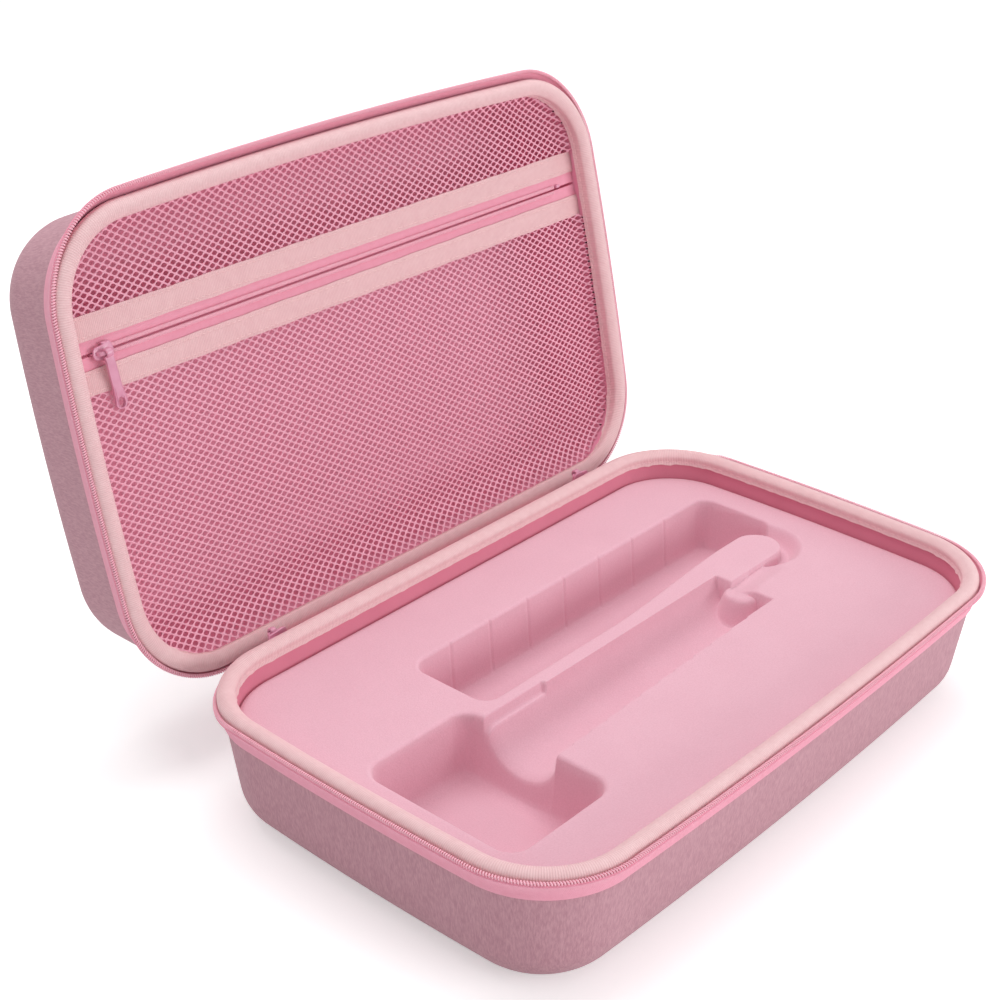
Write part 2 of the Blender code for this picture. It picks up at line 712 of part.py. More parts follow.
def make_pocket_slider(lid, look):
    """A slider whose plates lie in front of and behind the chain, joined by a post in its slot."""
    centre = lid_y(BAND_CENTRE)
    front = NET_DROP - GAP - CHAIN_HEIGHT - GAP
    back = NET_DROP + NET_WALL + GAP
    outline = slider_plate_outline()
    frame = bpy.data.objects.new("pocket_slider_frame", None)
    bpy.context.scene.collection.objects.link(frame)
    frame.parent = lid.parent
    seat = Vector((POCKET_SLIDER_X, centre, lid.level(front)))
    frame.location = seat - lid.origin
    frame.rotation_euler = (math.pi, 0, 0)
    body = plate("pocket_slider", outline, [], 0, PLATE, look=look, parent=frame)
    deep = back - front
    rear = plate("pocket_slider_back", outline, [], -deep - PLATE, -deep)
    post = [(-POST_LENGTH, -POST_HALF), (0, -POST_HALF), (0, POST_HALF), (-POST_LENGTH, POST_HALF)]
    core = plate("pocket_slider_post", post, [], -deep - PLATE / 2, PLATE / 2)
    bridge = arch_bar("pocket_slider_bridge")
    bridge.location.z = PLATE
    extras = [rear, core, bridge]
    wide = SLIDER_WIDTH / 2
    for side, sign in (("a", -1), ("b", 1)):
        lip = sorted((sign * wide, sign * (wide - SLIDER_LIP)))
        flange = [(0, lip[0]), (SLIDER_LENGTH / 2 - PLATE, lip[0]), (SLIDER_LENGTH / 2 - PLATE, lip[1]), (0, lip[1])]
        extras.append(plate(f"pocket_slider_flange_{side}", flange, [], -CHAIN_HEIGHT, PLATE / 2))
    for extra in extras:
        extra.parent = body
        combine(body, extra, "UNION")
    bar = Vector((0, 0, PLATE + ARCH_RISE))
    fall = PLATE + ARCH_RISE + NET_DROP - front - PULL_WALL / 2 - GAP
    make_pull("pocket_pull", PULL_LENGTH, look, frame, bar, (math.asin(fall / PULL_LENGTH), 0, 0))


def make_main_slider(base, side, sign, look):
    """A slider at the end of the main zip: a plate outside the coil, a lip inside it and a post past its end."""
    outer_face = COIL_OUT + COIL_RADIUS + GAP
    inner_face = COIL_OUT - COIL_RADIUS - GAP
    back = RIM_DEPTH / 2
    post_x = ZIP_END - GAP
    centre_x = post_x - PLATE + SLIDER_LENGTH / 2
    frame = bpy.data.objects.new(f"main_slider_frame_{side}", None)
    bpy.context.scene.collection.objects.link(frame)
    frame.location = (sign * centre_x, back + outer_face, base.level(MAIN_SLIDER_DROP))
    frame.rotation_euler = (-math.pi / 2, 0, 0)
    outline = [(sign * x, y) for x, y in slider_plate_outline()]
    body = plate(f"main_slider_{side}", outline, [], 0, PLATE, look=look, parent=frame)
    reach = outer_face - inner_face
    near_end = -SLIDER_LENGTH / 2
    rise = -SLIDER_NOSE / 2
    post_top = rise + MAIN_LIP_DEEP
    post = [(sign * near_end, rise), (sign * (near_end + PLATE), rise), (sign * (near_end + PLATE), post_top), (sign * near_end, post_top)]
    lip = [(sign * near_end, rise), (0, rise), (0, post_top), (sign * near_end, post_top)]
    core = plate(f"main_slider_post_{side}", post, [], -reach - SLIDER_LIP / 2, PLATE / 2)
    inner = plate(f"main_slider_lip_{side}", lip, [], -reach - SLIDER_LIP, -reach)
    bridge = arch_bar(f"main_slider_bridge_{side}")
    bridge.location.z = PLATE
    for extra in (core, inner, bridge):
        extra.parent = body
        combine(body, extra, "UNION")
    bar = Vector((0, 0, PLATE + ARCH_RISE))
    make_pull(f"main_pull_{side}", MAIN_PULL_LENGTH, look, frame, bar, (math.pi, 0, 0))


# The hinge

def strip_section(points, wall):
    """A strip's section from its centre line, as thick as its wall."""
    half = wall / 2
    return [(out - half, up) for out, up in points] + [(out + half, up) for out, up in points[::-1]]


def make_hinge(base, lid, axis, look):
    """One fabric strip with a fold on the hinge's axis: its foot stays on the base, the rest turns with the lid."""
    back = RIM_DEPTH / 2
    half_x = HINGE_LENGTH / 2
    half_wall = STRIP_WALL / 2

    def seat(drop, height):
        return wall_offset(-GAP - half_wall, drop, height)

    fold = HINGE_DROP + FOLD_DROP
    leaves = fold + FOLD_RUN
    foot = [(HINGE_OUT - FOLD_INSET, base.level(fold)), (seat(leaves, base.height), base.level(leaves))]
    foot.append((seat(STRIP_HEM, base.height), base.level(STRIP_HEM)))
    section = strip_section(foot, STRIP_WALL)
    rings = [[(x, back + out, z) for out, z in section] for x in (-half_x, half_x)]
    skin("hinge_strip_foot", rings, look=look)

    lean = [(HINGE_OUT, axis.z), (HINGE_OUT, lid.level(STRIP_CLEAR_OF_LID_RIM))]
    lean += [(seat(STRIP_SEAT, lid.height), lid.level(STRIP_SEAT)), (seat(STRIP_HEM, lid.height), lid.level(STRIP_HEM))]
    section = strip_section(lean, STRIP_WALL)
    rings = [[Vector((x, back + out, z)) - axis for out, z in section] for x in (-half_x, half_x)]
    skin("hinge_strip", rings, look=look, parent=lid.parent)


def main():
    clear_scene()
    looks = {
        "fabric": material("heathered_fabric", srgb(186, 138, 150), 0.85),
        "lining": material("smooth_lining", srgb(206, 120, 142), 0.6),
        "insert": material("flocked_insert", srgb(233, 178, 195), 0.8),
        "binding": material("ribbed_binding", srgb(238, 196, 198), 0.75),
        "tape": material("zip_tape", srgb(232, 140, 165), 0.7),
        "coil": material("zip_coil", srgb(240, 165, 185), 0.45),
        "net": material("knit_net", srgb(232, 150, 170), 0.7),
        "trim": material("ribbed_trim", srgb(234, 187, 188), 0.75),
        "metal": material("painted_metal", srgb(224, 160, 184), 0.35, 0.3),
    }
    base = Half("base", BASE_HEIGHT, BASE_HEIGHT, 1)
    axis = Vector((0, RIM_DEPTH / 2 + HINGE_OUT, base.level(HINGE_DROP)))
    hinge = bpy.data.objects.new("lid_hinge", None)
    bpy.context.scene.collection.objects.link(hinge)
    hinge.location = axis
    hinge.rotation_euler.x = -OPEN_ANGLE
    lid = Half("lid", LID_HEIGHT, BASE_HEIGHT + CLOSED_GAP, -1, hinge, axis)
    for half in (base, lid):
        make_shell(half, looks["fabric"])
        make_lining(half, looks["lining"])
        make_binding(half, looks["binding"])
        make_zip(half, looks["tape"], looks["coil"])
    make_insert(base, looks["insert"])
    make_pocket(lid, looks)
    make_pocket_slider(lid, looks["metal"])
    for side, sign in (("left", -1), ("right", 1)):
        make_main_slider(base, side, sign, looks["metal"])
    make_hinge(base, lid, axis, looks["tape"])


main()
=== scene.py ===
# %% [markdown]
# An open zip-up case for a hair styler, dressed for the camera. The CAD model holds
# each piece as a plain solid. Here each soft piece becomes what it is in the hand:
# brushed fabric, ribbed tape, a wound nylon coil, a knitted net, a flocked tray.
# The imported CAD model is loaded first, and nothing in it is moved.

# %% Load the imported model
import math

import bmesh
import bpy
import numpy as np
from mathutils import Matrix, Vector


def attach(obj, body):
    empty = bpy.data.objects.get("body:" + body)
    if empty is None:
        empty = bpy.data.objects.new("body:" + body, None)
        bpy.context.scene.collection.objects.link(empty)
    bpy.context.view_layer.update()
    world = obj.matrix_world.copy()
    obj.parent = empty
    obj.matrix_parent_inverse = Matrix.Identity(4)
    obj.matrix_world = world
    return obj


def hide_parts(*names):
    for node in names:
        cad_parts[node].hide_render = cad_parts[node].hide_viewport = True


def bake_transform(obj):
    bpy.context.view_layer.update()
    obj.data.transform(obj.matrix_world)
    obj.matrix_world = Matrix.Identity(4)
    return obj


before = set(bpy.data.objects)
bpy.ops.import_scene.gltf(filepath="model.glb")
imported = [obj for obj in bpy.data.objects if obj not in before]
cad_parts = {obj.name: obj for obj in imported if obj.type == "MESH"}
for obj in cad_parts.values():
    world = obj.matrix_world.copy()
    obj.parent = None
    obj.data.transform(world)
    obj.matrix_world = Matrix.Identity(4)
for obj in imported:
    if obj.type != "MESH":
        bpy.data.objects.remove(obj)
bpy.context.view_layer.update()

# %% [markdown]
# The camera stands before the left front corner and looks slightly down. Its place was
# fitted to corners of the rims that the photo shows, so it is written as the point that
# it looks at, the way from there to the camera, and the lens. The sensor is 36 mm wide.

# %% Camera
AIM = np.array([0.0955, 0.1578, 0.0360])
CAMERA_AZIMUTH = math.radians(-48.6)
CAMERA_HEIGHT = math.radians(27.6)
CAMERA_ROLL = math.radians(0.5)
CAMERA_DISTANCE = 1.0202
LENS = 66.57


def aim_camera():
    """Back is the unit vector from the aim to the camera; right and up are square to it, then rolled about it."""
    flat = math.cos(CAMERA_HEIGHT)
    back = np.array([math.sin(CAMERA_AZIMUTH) * flat, -math.cos(CAMERA_AZIMUTH) * flat, math.sin(CAMERA_HEIGHT)])
    level = np.cross([0.0, 0.0, 1.0], back)
    level /= np.linalg.norm(level)
    upright = np.cross(back, level)
    right = level * math.cos(CAMERA_ROLL) + upright * math.sin(CAMERA_ROLL)
    up = upright * math.cos(CAMERA_ROLL) - level * math.sin(CAMERA_ROLL)
    camera = bpy.data.objects.new("camera", bpy.data.cameras.new("camera"))
    turn = np.eye(4)
    turn[:3, 0] = right
    turn[:3, 1] = up
    turn[:3, 2] = back
    turn[:3, 3] = AIM + back * CAMERA_DISTANCE
    camera.matrix_world = Matrix(turn.tolist())
    camera.data.sensor_width = 36
    camera.data.lens = LENS
    camera.data.clip_start = 0.05
    camera.data.clip_end = 20
    bpy.context.scene.collection.objects.link(camera)
    bpy.context.scene.camera = camera
    return camera


camera = aim_camera()
print("camera at", [round(x, 3) for x in camera.location])

# %% [markdown]
# A shader is easier to read as a formula than as a picture of nodes. Wire wraps one
# socket. Adding or multiplying wires adds Math nodes, and Look.node adds any other node.

# %% Shader maths
class Wire:
    """One output socket, on which Python's operators add Math nodes."""

    def __init__(self, look, socket):
        self.look = look
        self.socket = socket

    def maths(self, operation, *values):
        """A Math node of this operation on these values, in their order."""
        return self.look.node("ShaderNodeMath", {"operation": operation}, dict(enumerate(values)))

    def __add__(self, other):
        return self.maths("ADD", self, other)

    def __sub__(self, other):
        return self.maths("SUBTRACT", self, other)

    def __rsub__(self, other):
        return self.maths("SUBTRACT", other, self)

    def __mul__(self, other):
        return self.maths("MULTIPLY", self, other)

    __radd__ = __add__
    __rmul__ = __mul__

    def wave(self, pitch):
        """(1 + sin(2 pi x / pitch)) / 2: a sine of the given pitch that runs from 0 to 1."""
        return self.maths("SINE", self * (2 * math.pi / pitch)) * 0.5 + 0.5

    def clipped(self, low, high):
        """0 below low, 1 above high and a smooth rise between."""
        limits = {"Value": self, "From Min": low, "From Max": high}
        return self.look.node("ShaderNodeMapRange", {"interpolation_type": "SMOOTHSTEP"}, limits)


class Look:
    """A material. What is the same all over is set on the shader's own sockets."""

    def __init__(self, name, colour, **fixed):
        self.material = bpy.data.materials.new(name)
        self.material.use_nodes = True
        self.tree = self.material.node_tree
        self.shader = self.tree.nodes["Principled BSDF"]
        self.shader.inputs["Base Color"].default_value = linear(colour)
        self.material.diffuse_color = linear(colour)
        for socket, value in fixed.items():
            self.shader.inputs[socket.replace("_", " ")].default_value = value

    def node(self, kind, settings=None, values=None, output=0):
        """Adds a node: its settings first, then a value or a wire for each socket, and gives one output."""
        made = self.tree.nodes.new(kind)
        for name, value in (settings or {}).items():
            setattr(made, name, value)
        for name, value in (values or {}).items():
            if isinstance(value, Wire):
                self.tree.links.new(value.socket, made.inputs[name])
            else:
                made.inputs[name].default_value = value
        return Wire(self, made.outputs[output])

    def place(self, turn=0.0, stretch=(1, 1, 1)):
        """Object coordinates, turned about X and stretched."""
        spot = self.node("ShaderNodeTexCoord", output="Object")
        turned = self.node("ShaderNodeMapping", {}, {"Vector": spot, "Rotation": (turn, 0, 0)})
        return self.node("ShaderNodeVectorMath", {"operation": "MULTIPLY"}, {0: turned, 1: stretch})

    def cloth(self):
        """The piece's own map, in metres: along the tape, and across it."""
        spot = self.node("ShaderNodeUVMap", {"uv_map": "cloth"})
        along = self.node("ShaderNodeSeparateXYZ", {}, {0: spot}, "X")
        across = self.node("ShaderNodeSeparateXYZ", {}, {0: spot}, "Y")
        return spot, along, across

    def noise(self, spot, scale, detail=2.0, rough=0.5):
        """Noise from 0 to 1, of about so many spots to the metre as its scale says."""
        values = {"Vector": spot, "Scale": scale, "Detail": detail, "Roughness": rough}
        return self.node("ShaderNodeTexNoise", {}, values)

    def mix(self, share, first, second):
        """A colour between two, by a share from 0 to 1."""
        return self.node("ShaderNodeMix", {"data_type": "RGBA"}, {0: share, 6: first, 7: second}, 2)

    def bump(self, height, distance, strength=1.0):
        """Shades the surface as if it rose by height times distance, in metres."""
        values = {"Height": height, "Distance": distance, "Strength": strength}
        self.feed("Normal", self.node("ShaderNodeBump", {}, values))

    def feed(self, socket, wire):
        """Leads a wire into one of the shader's sockets."""
        self.tree.links.new(wire.socket, self.shader.inputs[socket])


def linear(colour):
    """A colour picked as 0 to 255, as the linear colour that a shader takes."""
    shares = np.array(colour[:3]) / 255
    made = np.where(shares <= 0.04045, shares / 12.92, ((shares + 0.055) / 1.055) ** 2.4)
    return (*made.tolist(), 1.0)


print("shader maths ready")

# %% [markdown]
# The outside is a brushed polyester knit in which pink and greyish yarns are mixed. Up
# close it is a fine speckle drawn out along the height of the wall. Noise stretched in
# one direction gives that; the lid's copy is turned with the lid.

# %% Fabric, lining and flock
OPEN_ANGLE = math.radians(103)


def brushed_fabric(name, turn):
    """Two yarns' colours mixed by noise that is drawn out along the height: streaks x 0.8 + clouds x 0.2."""
    look = Look(name, (201, 150, 163), Roughness=0.9, Sheen_Weight=0.15, Sheen_Roughness=0.5)
    streaks = look.noise(look.place(turn, (1, 1, 0.14)), 1500, 2.0, 0.6)
    clouds = look.noise(look.place(turn, (1, 1, 0.3)), 420, 2.0, 0.5)
    mixed = (streaks * 0.8 + clouds * 0.2).clipped(0.3, 0.7)
    look.feed("Base Color", look.mix(mixed, linear((186, 134, 147)), linear((206, 156, 168))))
    knit = look.noise(look.place(turn, (1, 1, 0.6)), 2600, 1.0, 0.5)
    look.bump(knit, 0.0003, 0.45)
    return look


def smooth_lining(name, colour, shade):
    """A colour that drifts slowly towards its shade, with a faint grain."""
    look = Look(name, colour, Roughness=0.6, Sheen_Weight=0.2, Sheen_Roughness=0.4)
    soft = look.noise(look.place(), 60, 2.0, 0.5)
    look.feed("Base Color", look.mix(soft, linear(shade), linear(colour)))
    look.bump(look.noise(look.place(), 2200, 1.0), 0.0002, 0.35)
    return look


def flocked():
    """Short pile: fine noise in colour and in height, over a slow drift of tone."""
    look = Look("flocked_insert", (233, 178, 195), Roughness=0.92, Sheen_Weight=0.3, Sheen_Roughness=0.6)
    pile = look.noise(look.place(), 1400, 2.0, 0.65)
    drift = look.noise(look.place(), 35, 2.0, 0.5)
    shade = (pile * 0.75 + drift * 0.25).clipped(0.25, 0.75)
    look.feed("Base Color", look.mix(shade, linear((229, 174, 190)), linear((238, 187, 202))))
    look.bump(pile, 0.00025, 0.4)
    return look


FABRIC_BASE = brushed_fabric("brushed_fabric_base", 0.0)
FABRIC_LID = brushed_fabric("brushed_fabric_lid", OPEN_ANGLE)
LINING = smooth_lining("smooth_lining", (226, 138, 160), (216, 125, 148))
# The lid's lining is the base lining's cloth written lighter: painted light that brightens it in the shade inside the
# lid and behind its net.
LID_LINING_PAINTED_LIGHTER = smooth_lining("smooth_lining_lid_painted_lighter", (244, 164, 190), (236, 152, 179))
FLOCK = flocked()
print("fabric, lining and flock ready")

# %% [markdown]
# Binding and trims are grosgrain: a ribbon with fine ribs straight across it. The ribs
# are a sine along the ribbon's own map, so they turn with it round every corner. Zip
# tape is a flatter weave, a fine herringbone. Both maps are in metres, so the pitch of
# a rib is written as its real size.

# %% Ribbon, zip tape, coil, net and painted metal
RIB_PITCH = 0.0009
WEAVE_PITCH = 0.0007
WEAVE_FOLD = 0.0012


def ribbon(name, colour, shade):
    """Ribs straight across: a sine of the distance along the ribbon, under some wear. The ribs also darken the colour
    in the grooves between them: painted shade.
    """
    look = Look(name, colour, Roughness=0.8, Sheen_Weight=0.15, Sheen_Roughness=0.5)
    spot, along, _ = look.cloth()
    ribs = along.wave(RIB_PITCH)
    wear = look.noise(spot, 220, 2.0, 0.6)
    rib_shade_and_wear = (ribs * 0.35 + wear * 0.65).clipped(0.2, 0.8)
    # The colour darkens in the grooves between the ribs: painted shade, mixed with random wear.
    look.feed("Base Color", look.mix(rib_shade_and_wear, linear(shade), linear(colour)))
    look.bump(ribs + wear * 0.4, 0.00016, 0.7)
    return look


def woven_tape(name, colour, shade):
    """Herringbone: ribs whose start goes to and fro across the tape, along + pingpong(across). The ribs also darken
    the colour in the grooves between them: painted shade.
    """
    look = Look(name, colour, Roughness=0.75, Sheen_Weight=0.15, Sheen_Roughness=0.5)
    spot, along, across = look.cloth()
    fold = across.maths("PINGPONG", across, WEAVE_FOLD)
    ribs = (along + fold).wave(WEAVE_PITCH)
    wear = look.noise(spot, 260, 2.0, 0.6)
    rib_shade_and_wear = (ribs * 0.4 + wear * 0.6).clipped(0.2, 0.8)
    # The colour darkens in the grooves of the herringbone ribs: painted shade, mixed with random wear.
    look.feed("Base Color", look.mix(rib_shade_and_wear, linear(shade), linear(colour)))
    look.bump(ribs, 0.00014, 0.6)
    return look


def plain(name, colour, shade, scale, bump, **fixed):
    """A colour with soft spots of its shade, and a grain bump metres high."""
    look = Look(name, colour, **fixed)
    soft = look.noise(look.place(), scale, 2.0, 0.5)
    look.feed("Base Color", look.mix(soft.clipped(0.3, 0.7), linear(shade), linear(colour)))
    look.bump(soft, bump, 0.4)
    return look


BINDING = ribbon("ribbed_binding", (244, 206, 208), (234, 190, 193))
TRIM = ribbon("ribbed_trim", (242, 200, 202), (232, 184, 188))
TAPE = woven_tape("zip_tape", (252, 174, 196), (246, 160, 183))
COIL = plain("zip_coil", (253, 194, 209), (250, 184, 201), 900, 0.0001, Roughness=0.42)
NET = plain("knit_net", (248, 182, 201), (242, 170, 191), 1500, 0.0002, Roughness=0.65)
THREAD = plain("sewing_thread", (248, 214, 214), (240, 196, 198), 2500, 0.0002, Roughness=0.7)
METAL = plain(
    "painted_metal", (226, 158, 184), (221, 150, 177), 240, 0.00003, Roughness=0.34, Coat_Weight=0.3)
print("tapes, coil, net and metal ready")

# %% [markdown]
# Base and lid share one rim outline: straight back, gently bowed front and ends, and
# round corners. Every tape, coil and wall follows it. The outline is worked out once as
# a dense line with its outward normals, and then read off at any distance along it.

# %% The rim's outline
RIM_LENGTH = 0.340
RIM_DEPTH = 0.210
CORNER_RADIUS = 0.042
FRONT_BOW = 0.0025
END_BOW = 0.0012


def bowed_side(start, end, outward, bow, count):
    """Points between two corners, pushed outwards by bow times 4 s (1 - s)."""
    share = np.linspace(0, 1, count, endpoint=False)[:, None]
    swell = bow * 4 * share * (1 - share)
    points = np.array(start) * (1 - share) + np.array(end) * share + np.array(outward) * swell
    return points, np.tile(np.array(outward, float), (count, 1))


def round_corner(centre, start, count):
    """A quarter circle about a centre; its normals are its radii."""
    angle = np.radians(np.linspace(start, start + 90, count, endpoint=False))
    normals = np.stack([np.cos(angle), np.sin(angle)], 1)
    return np.array(centre) + CORNER_RADIUS * normals, normals


def outline():
    """The closed rim from the middle of the back by the left end, as (x, y, normal x, normal y, distance) columns."""
    half_x, half_y = RIM_LENGTH / 2, RIM_DEPTH / 2
    x, y = half_x - CORNER_RADIUS, half_y - CORNER_RADIUS
    runs = [
        bowed_side((0, half_y), (-x, half_y), (0, 1), 0, 160),
        round_corner((-x, y), 90, 120),
        bowed_side((-half_x, y), (-half_x, -y), (-1, 0), END_BOW, 160),
        round_corner((-x, -y), 180, 120),
        bowed_side((-x, -half_y), (x, -half_y), (0, -1), FRONT_BOW, 320),
        round_corner((x, -y), 270, 120),
        bowed_side((half_x, -y), (half_x, y), (1, 0), END_BOW, 160),
        round_corner((x, y), 0, 120),
        bowed_side((x, half_y), (0, half_y), (0, 1), 0, 160),
    ]
    points = np.concatenate([run[0] for run in runs] + [runs[0][0][:1]])
    normals = np.concatenate([run[1] for run in runs] + [runs[0][1][:1]])
    steps = np.linalg.norm(np.diff(points, axis=0), axis=1)
    distance = np.concatenate([[0], np.cumsum(steps)])
    return np.column_stack([points, normals, distance])


RIM = outline()
RIM_ROUND = RIM[-1, 4]


def unit(vectors):
    """Vectors divided by their own lengths."""
    return vectors / np.linalg.norm(vectors, axis=-1, keepdims=True)


def rim_at(distance):
    """Points and outward normals of the rim at distances along it, which may run past its start."""
    distance = np.asarray(distance, float) % RIM_ROUND
    columns = [np.interp(distance, RIM[:, 4], RIM[:, column]) for column in range(4)]
    return np.stack(columns[:2], -1), unit(np.stack(columns[2:], -1))


print(f"the rim is {RIM_ROUND:.3f} m round")

# %% [markdown]
# A point of the case is told by three numbers: how far round the rim, how far outwards of
# the crest line, and how far below the crest. Half turns them into a place. The base's
# depth runs down. The lid's runs up while the case is closed, and then the whole lid is
# turned back about the hinge by the angle at which it stands open.

# %% The two halves
BASE_HEIGHT = 0.066
LID_HEIGHT = 0.063
WALL_DRAFT = 0.006
BOTTOM_RADIUS = 0.021
SHELL_OUT = 0.0022
SHELL_TOP = 0.0014
CLOSED_GAP = 0.0004
HINGE = np.array([0.0, RIM_DEPTH / 2 + 0.004, BASE_HEIGHT - 0.014])


class Half:
    """One half of the case: its height, and how its own frame lies in the open case."""

    def __init__(self, body, height, crest, downwards, turn):
        self.body = body
        self.height = height
        self.crest = crest
        self.downwards = downwards
        self.turn = turn
        self.lean = math.atan2(WALL_DRAFT, height - BOTTOM_RADIUS - SHELL_TOP)

    def opened(self, points):
        """Closed-case points turned about the hinge: y and z mix by the sine and cosine of the angle."""
        if not self.turn:
            return points
        y, z = points[..., 1] - HINGE[1], points[..., 2] - HINGE[2]
        sine, cosine = math.sin(-self.turn), math.cos(-self.turn)
        return np.stack([points[..., 0], HINGE[1] + y * cosine - z * sine, HINGE[2] + y * sine + z * cosine], -1)

    def at(self, flat, drop):
        """Points over a flat place (x, y) at a drop below the crest."""
        flat, drop = np.asarray(flat, float), np.asarray(drop, float)
        shape = np.broadcast_shapes(flat.shape[:-1], drop.shape)
        flat = np.broadcast_to(flat, (*shape, 2))
        level = np.broadcast_to(self.crest - self.downwards * drop, shape)
        return self.opened(np.concatenate([flat, level[..., None]], -1))

    def on_rim(self, distance, outwards, drop):
        """Points at distances round the rim, outwards of its crest and below it."""
        points, normals = rim_at(distance)
        return self.at(points + normals * np.asarray(outwards)[..., None], drop)

    def wall(self, inset, drop):
        """How far outwards of the crest the wall lies, inset into its thickness: it leans in by the draft."""
        return SHELL_OUT - inset / math.cos(self.lean) - math.tan(self.lean) * (np.asarray(drop) - SHELL_TOP)

    def wall_line(self, inset, top, straight=10, bend=12):
        """(outwards, drop) down a wall from its top and round its bottom bend."""
        centre_drop = self.height - BOTTOM_RADIUS
        start = centre_drop + BOTTOM_RADIUS * math.sin(self.lean)
        centre_out = self.wall(0, start) - BOTTOM_RADIUS * math.cos(self.lean)
        radius = BOTTOM_RADIUS - inset
        angle = np.linspace(self.lean, math.pi / 2, bend + 1)
        arc = np.stack([centre_out + radius * np.cos(angle), centre_drop + radius * np.sin(angle)], 1)
        drops = np.linspace(top, arc[0, 1], straight, endpoint=False)
        return np.concatenate([np.stack([self.wall(inset, drops), drops], 1), arc])


BASE = Half("base", BASE_HEIGHT, BASE_HEIGHT, 1, 0.0)
LID = Half("lid", LID_HEIGHT, BASE_HEIGHT + CLOSED_GAP, -1, OPEN_ANGLE)
print("lid's crest at the hinge side:", LID.on_rim(0.0, 0.0, 0.0).round(4).tolist())

# %% [markdown]
# Most pieces are one profile carried round the rim. The grid of points is computed as
# one array; neighbouring points make the faces. The map called cloth holds the real
# distance along the tape and across it, for weaves and ribs.

# %% From arrays to pieces
def lay_map(mesh, maps):
    """Writes the map called cloth. A face that spans the map's end reads on past it, not back to 0."""
    corners = np.zeros(len(mesh.loops), np.int32)
    mesh.loops.foreach_get("vertex_index", corners)
    spots = np.asarray(maps, np.float32).reshape(-1, 2)[corners]
    starts = np.zeros(len(mesh.polygons), np.int32)
    mesh.polygons.foreach_get("loop_start", starts)
    sizes = np.diff(np.append(starts, len(corners)))
    farthest = np.repeat(np.maximum.reduceat(spots[:, 0], starts), sizes)
    spots[:, 0] += spots[:, 0].max() * (farthest - spots[:, 0] > spots[:, 0].max() / 2)
    layer = mesh.uv_layers.new(name="cloth")
    layer.data.foreach_set("uv", spots.ravel())


def piece(name, points, faces, look, body, nodes=(), maps=None, sharp=40):
    """Arrays become a mesh with its faces turned outwards, which rides on a body and stands for nodes."""
    mesh = bpy.data.meshes.new(name)
    mesh.from_pydata(np.asarray(points, float).reshape(-1, 3), [], faces)
    if maps is not None:
        lay_map(mesh, maps)
    shape = bmesh.new()
    shape.from_mesh(mesh)
    bmesh.ops.recalc_face_normals(shape, faces=shape.faces)
    shape.to_mesh(mesh)
    shape.free()
    mesh.shade_smooth()
    mesh.set_sharp_from_angle(angle=math.radians(sharp))
    mesh.materials.append(look.material)
    made = bpy.data.objects.new(name, mesh)
    bpy.context.scene.collection.objects.link(made)
    if body:
        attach(made, body)
    if nodes:
        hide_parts(*nodes)
    return made


def grid_faces(rows, columns, round_rows=False, round_columns=False, caps=False):
    """Quads between neighbours of a grid of points, joined end to end where it is round."""
    number = np.arange(rows * columns).reshape(rows, columns)
    if round_rows:
        number = np.concatenate([number, number[:1]])
    if round_columns:
        number = np.concatenate([number, number[:, :1]], 1)
    quads = np.stack([number[:-1, :-1], number[1:, :-1], number[1:, 1:], number[:-1, 1:]], -1)
    faces = quads.reshape(-1, 4).tolist()
    if caps:
        faces += [number[0, :columns].tolist(), number[-1, :columns][::-1].tolist()]
    return faces


def real_map(points):
    """Distance along the rows and across the columns, taken from the grid's own middle lines."""
    along = np.linalg.norm(np.diff(points[:, points.shape[1] // 2], axis=0), axis=1)
    across = np.linalg.norm(np.diff(points[0], axis=0), axis=1)
    u = np.concatenate([[0], np.cumsum(along)])
    v = np.concatenate([[0], np.cumsum(across)])
    return np.stack(np.meshgrid(u, v, indexing="ij"), -1)


def closed_band(name, points, look, body, nodes, round_rows=True):
    """A tube whose profile is closed: carried all the way round, or capped at both ends."""
    rows, columns = points.shape[:2]
    faces = grid_faces(rows, columns, round_rows, True, caps=not round_rows)
    return piece(name, points, faces, look, body, nodes, real_map(points))


def copies(shape, places, axes):
    """One shape set down many times: each copy is place + x axis 1 + y axis 2 + z axis 3 of its points."""
    points = np.einsum("vk,nkj->nvj", shape[0], axes) + places[:, None]
    step = len(shape[0]) * np.arange(len(places))
    return points.reshape(-1, 3), [[i + s for i in face] for s in step.tolist() for face in shape[1]]


def eased(value, low, high):
    """A share that rises from 0 at low to 1 at high as 3 s^2 - 2 s^3."""
    share = np.clip((value - low) / (high - low), 0, 1)
    return share**2 * (3 - 2 * share)


AROUND = np.linspace(0, RIM_ROUND, 420, endpoint=False)
print("carrying profiles round", len(AROUND), "stations")

# %% [markdown]
# The shell is one wall of pressed foam with fabric on its outside. Its profile runs down
# the outside, round the bottom bend, and back up inside, so the carried profile is the
# whole wall. Two flat faces close its bottom.

# %% Shells and linings
SHELL_WALL = 0.0038
SHELL_EDGE = 0.0008
LINING_TOP = 0.0024
LINING_WALL = 0.0008
GAP = 0.0003
LINING_FACE = SHELL_WALL + GAP + LINING_WALL


def tub(half, name, outer, inner, look):
    """An open tub: the outer profile from its bottom up, then the inner one down."""
    profile = np.concatenate([outer[::-1], inner])
    points = half.on_rim(AROUND[:, None], profile[None, :, 0], profile[None, :, 1])
    faces = grid_faces(len(AROUND), len(profile), True, False)
    number = np.arange(points.shape[0] * points.shape[1]).reshape(points.shape[:2])
    faces += [number[:, 0].tolist(), number[::-1, -1].tolist()]
    return piece(name, points, faces, look, half.body, [name.replace("_fabric", "")], real_map(points))


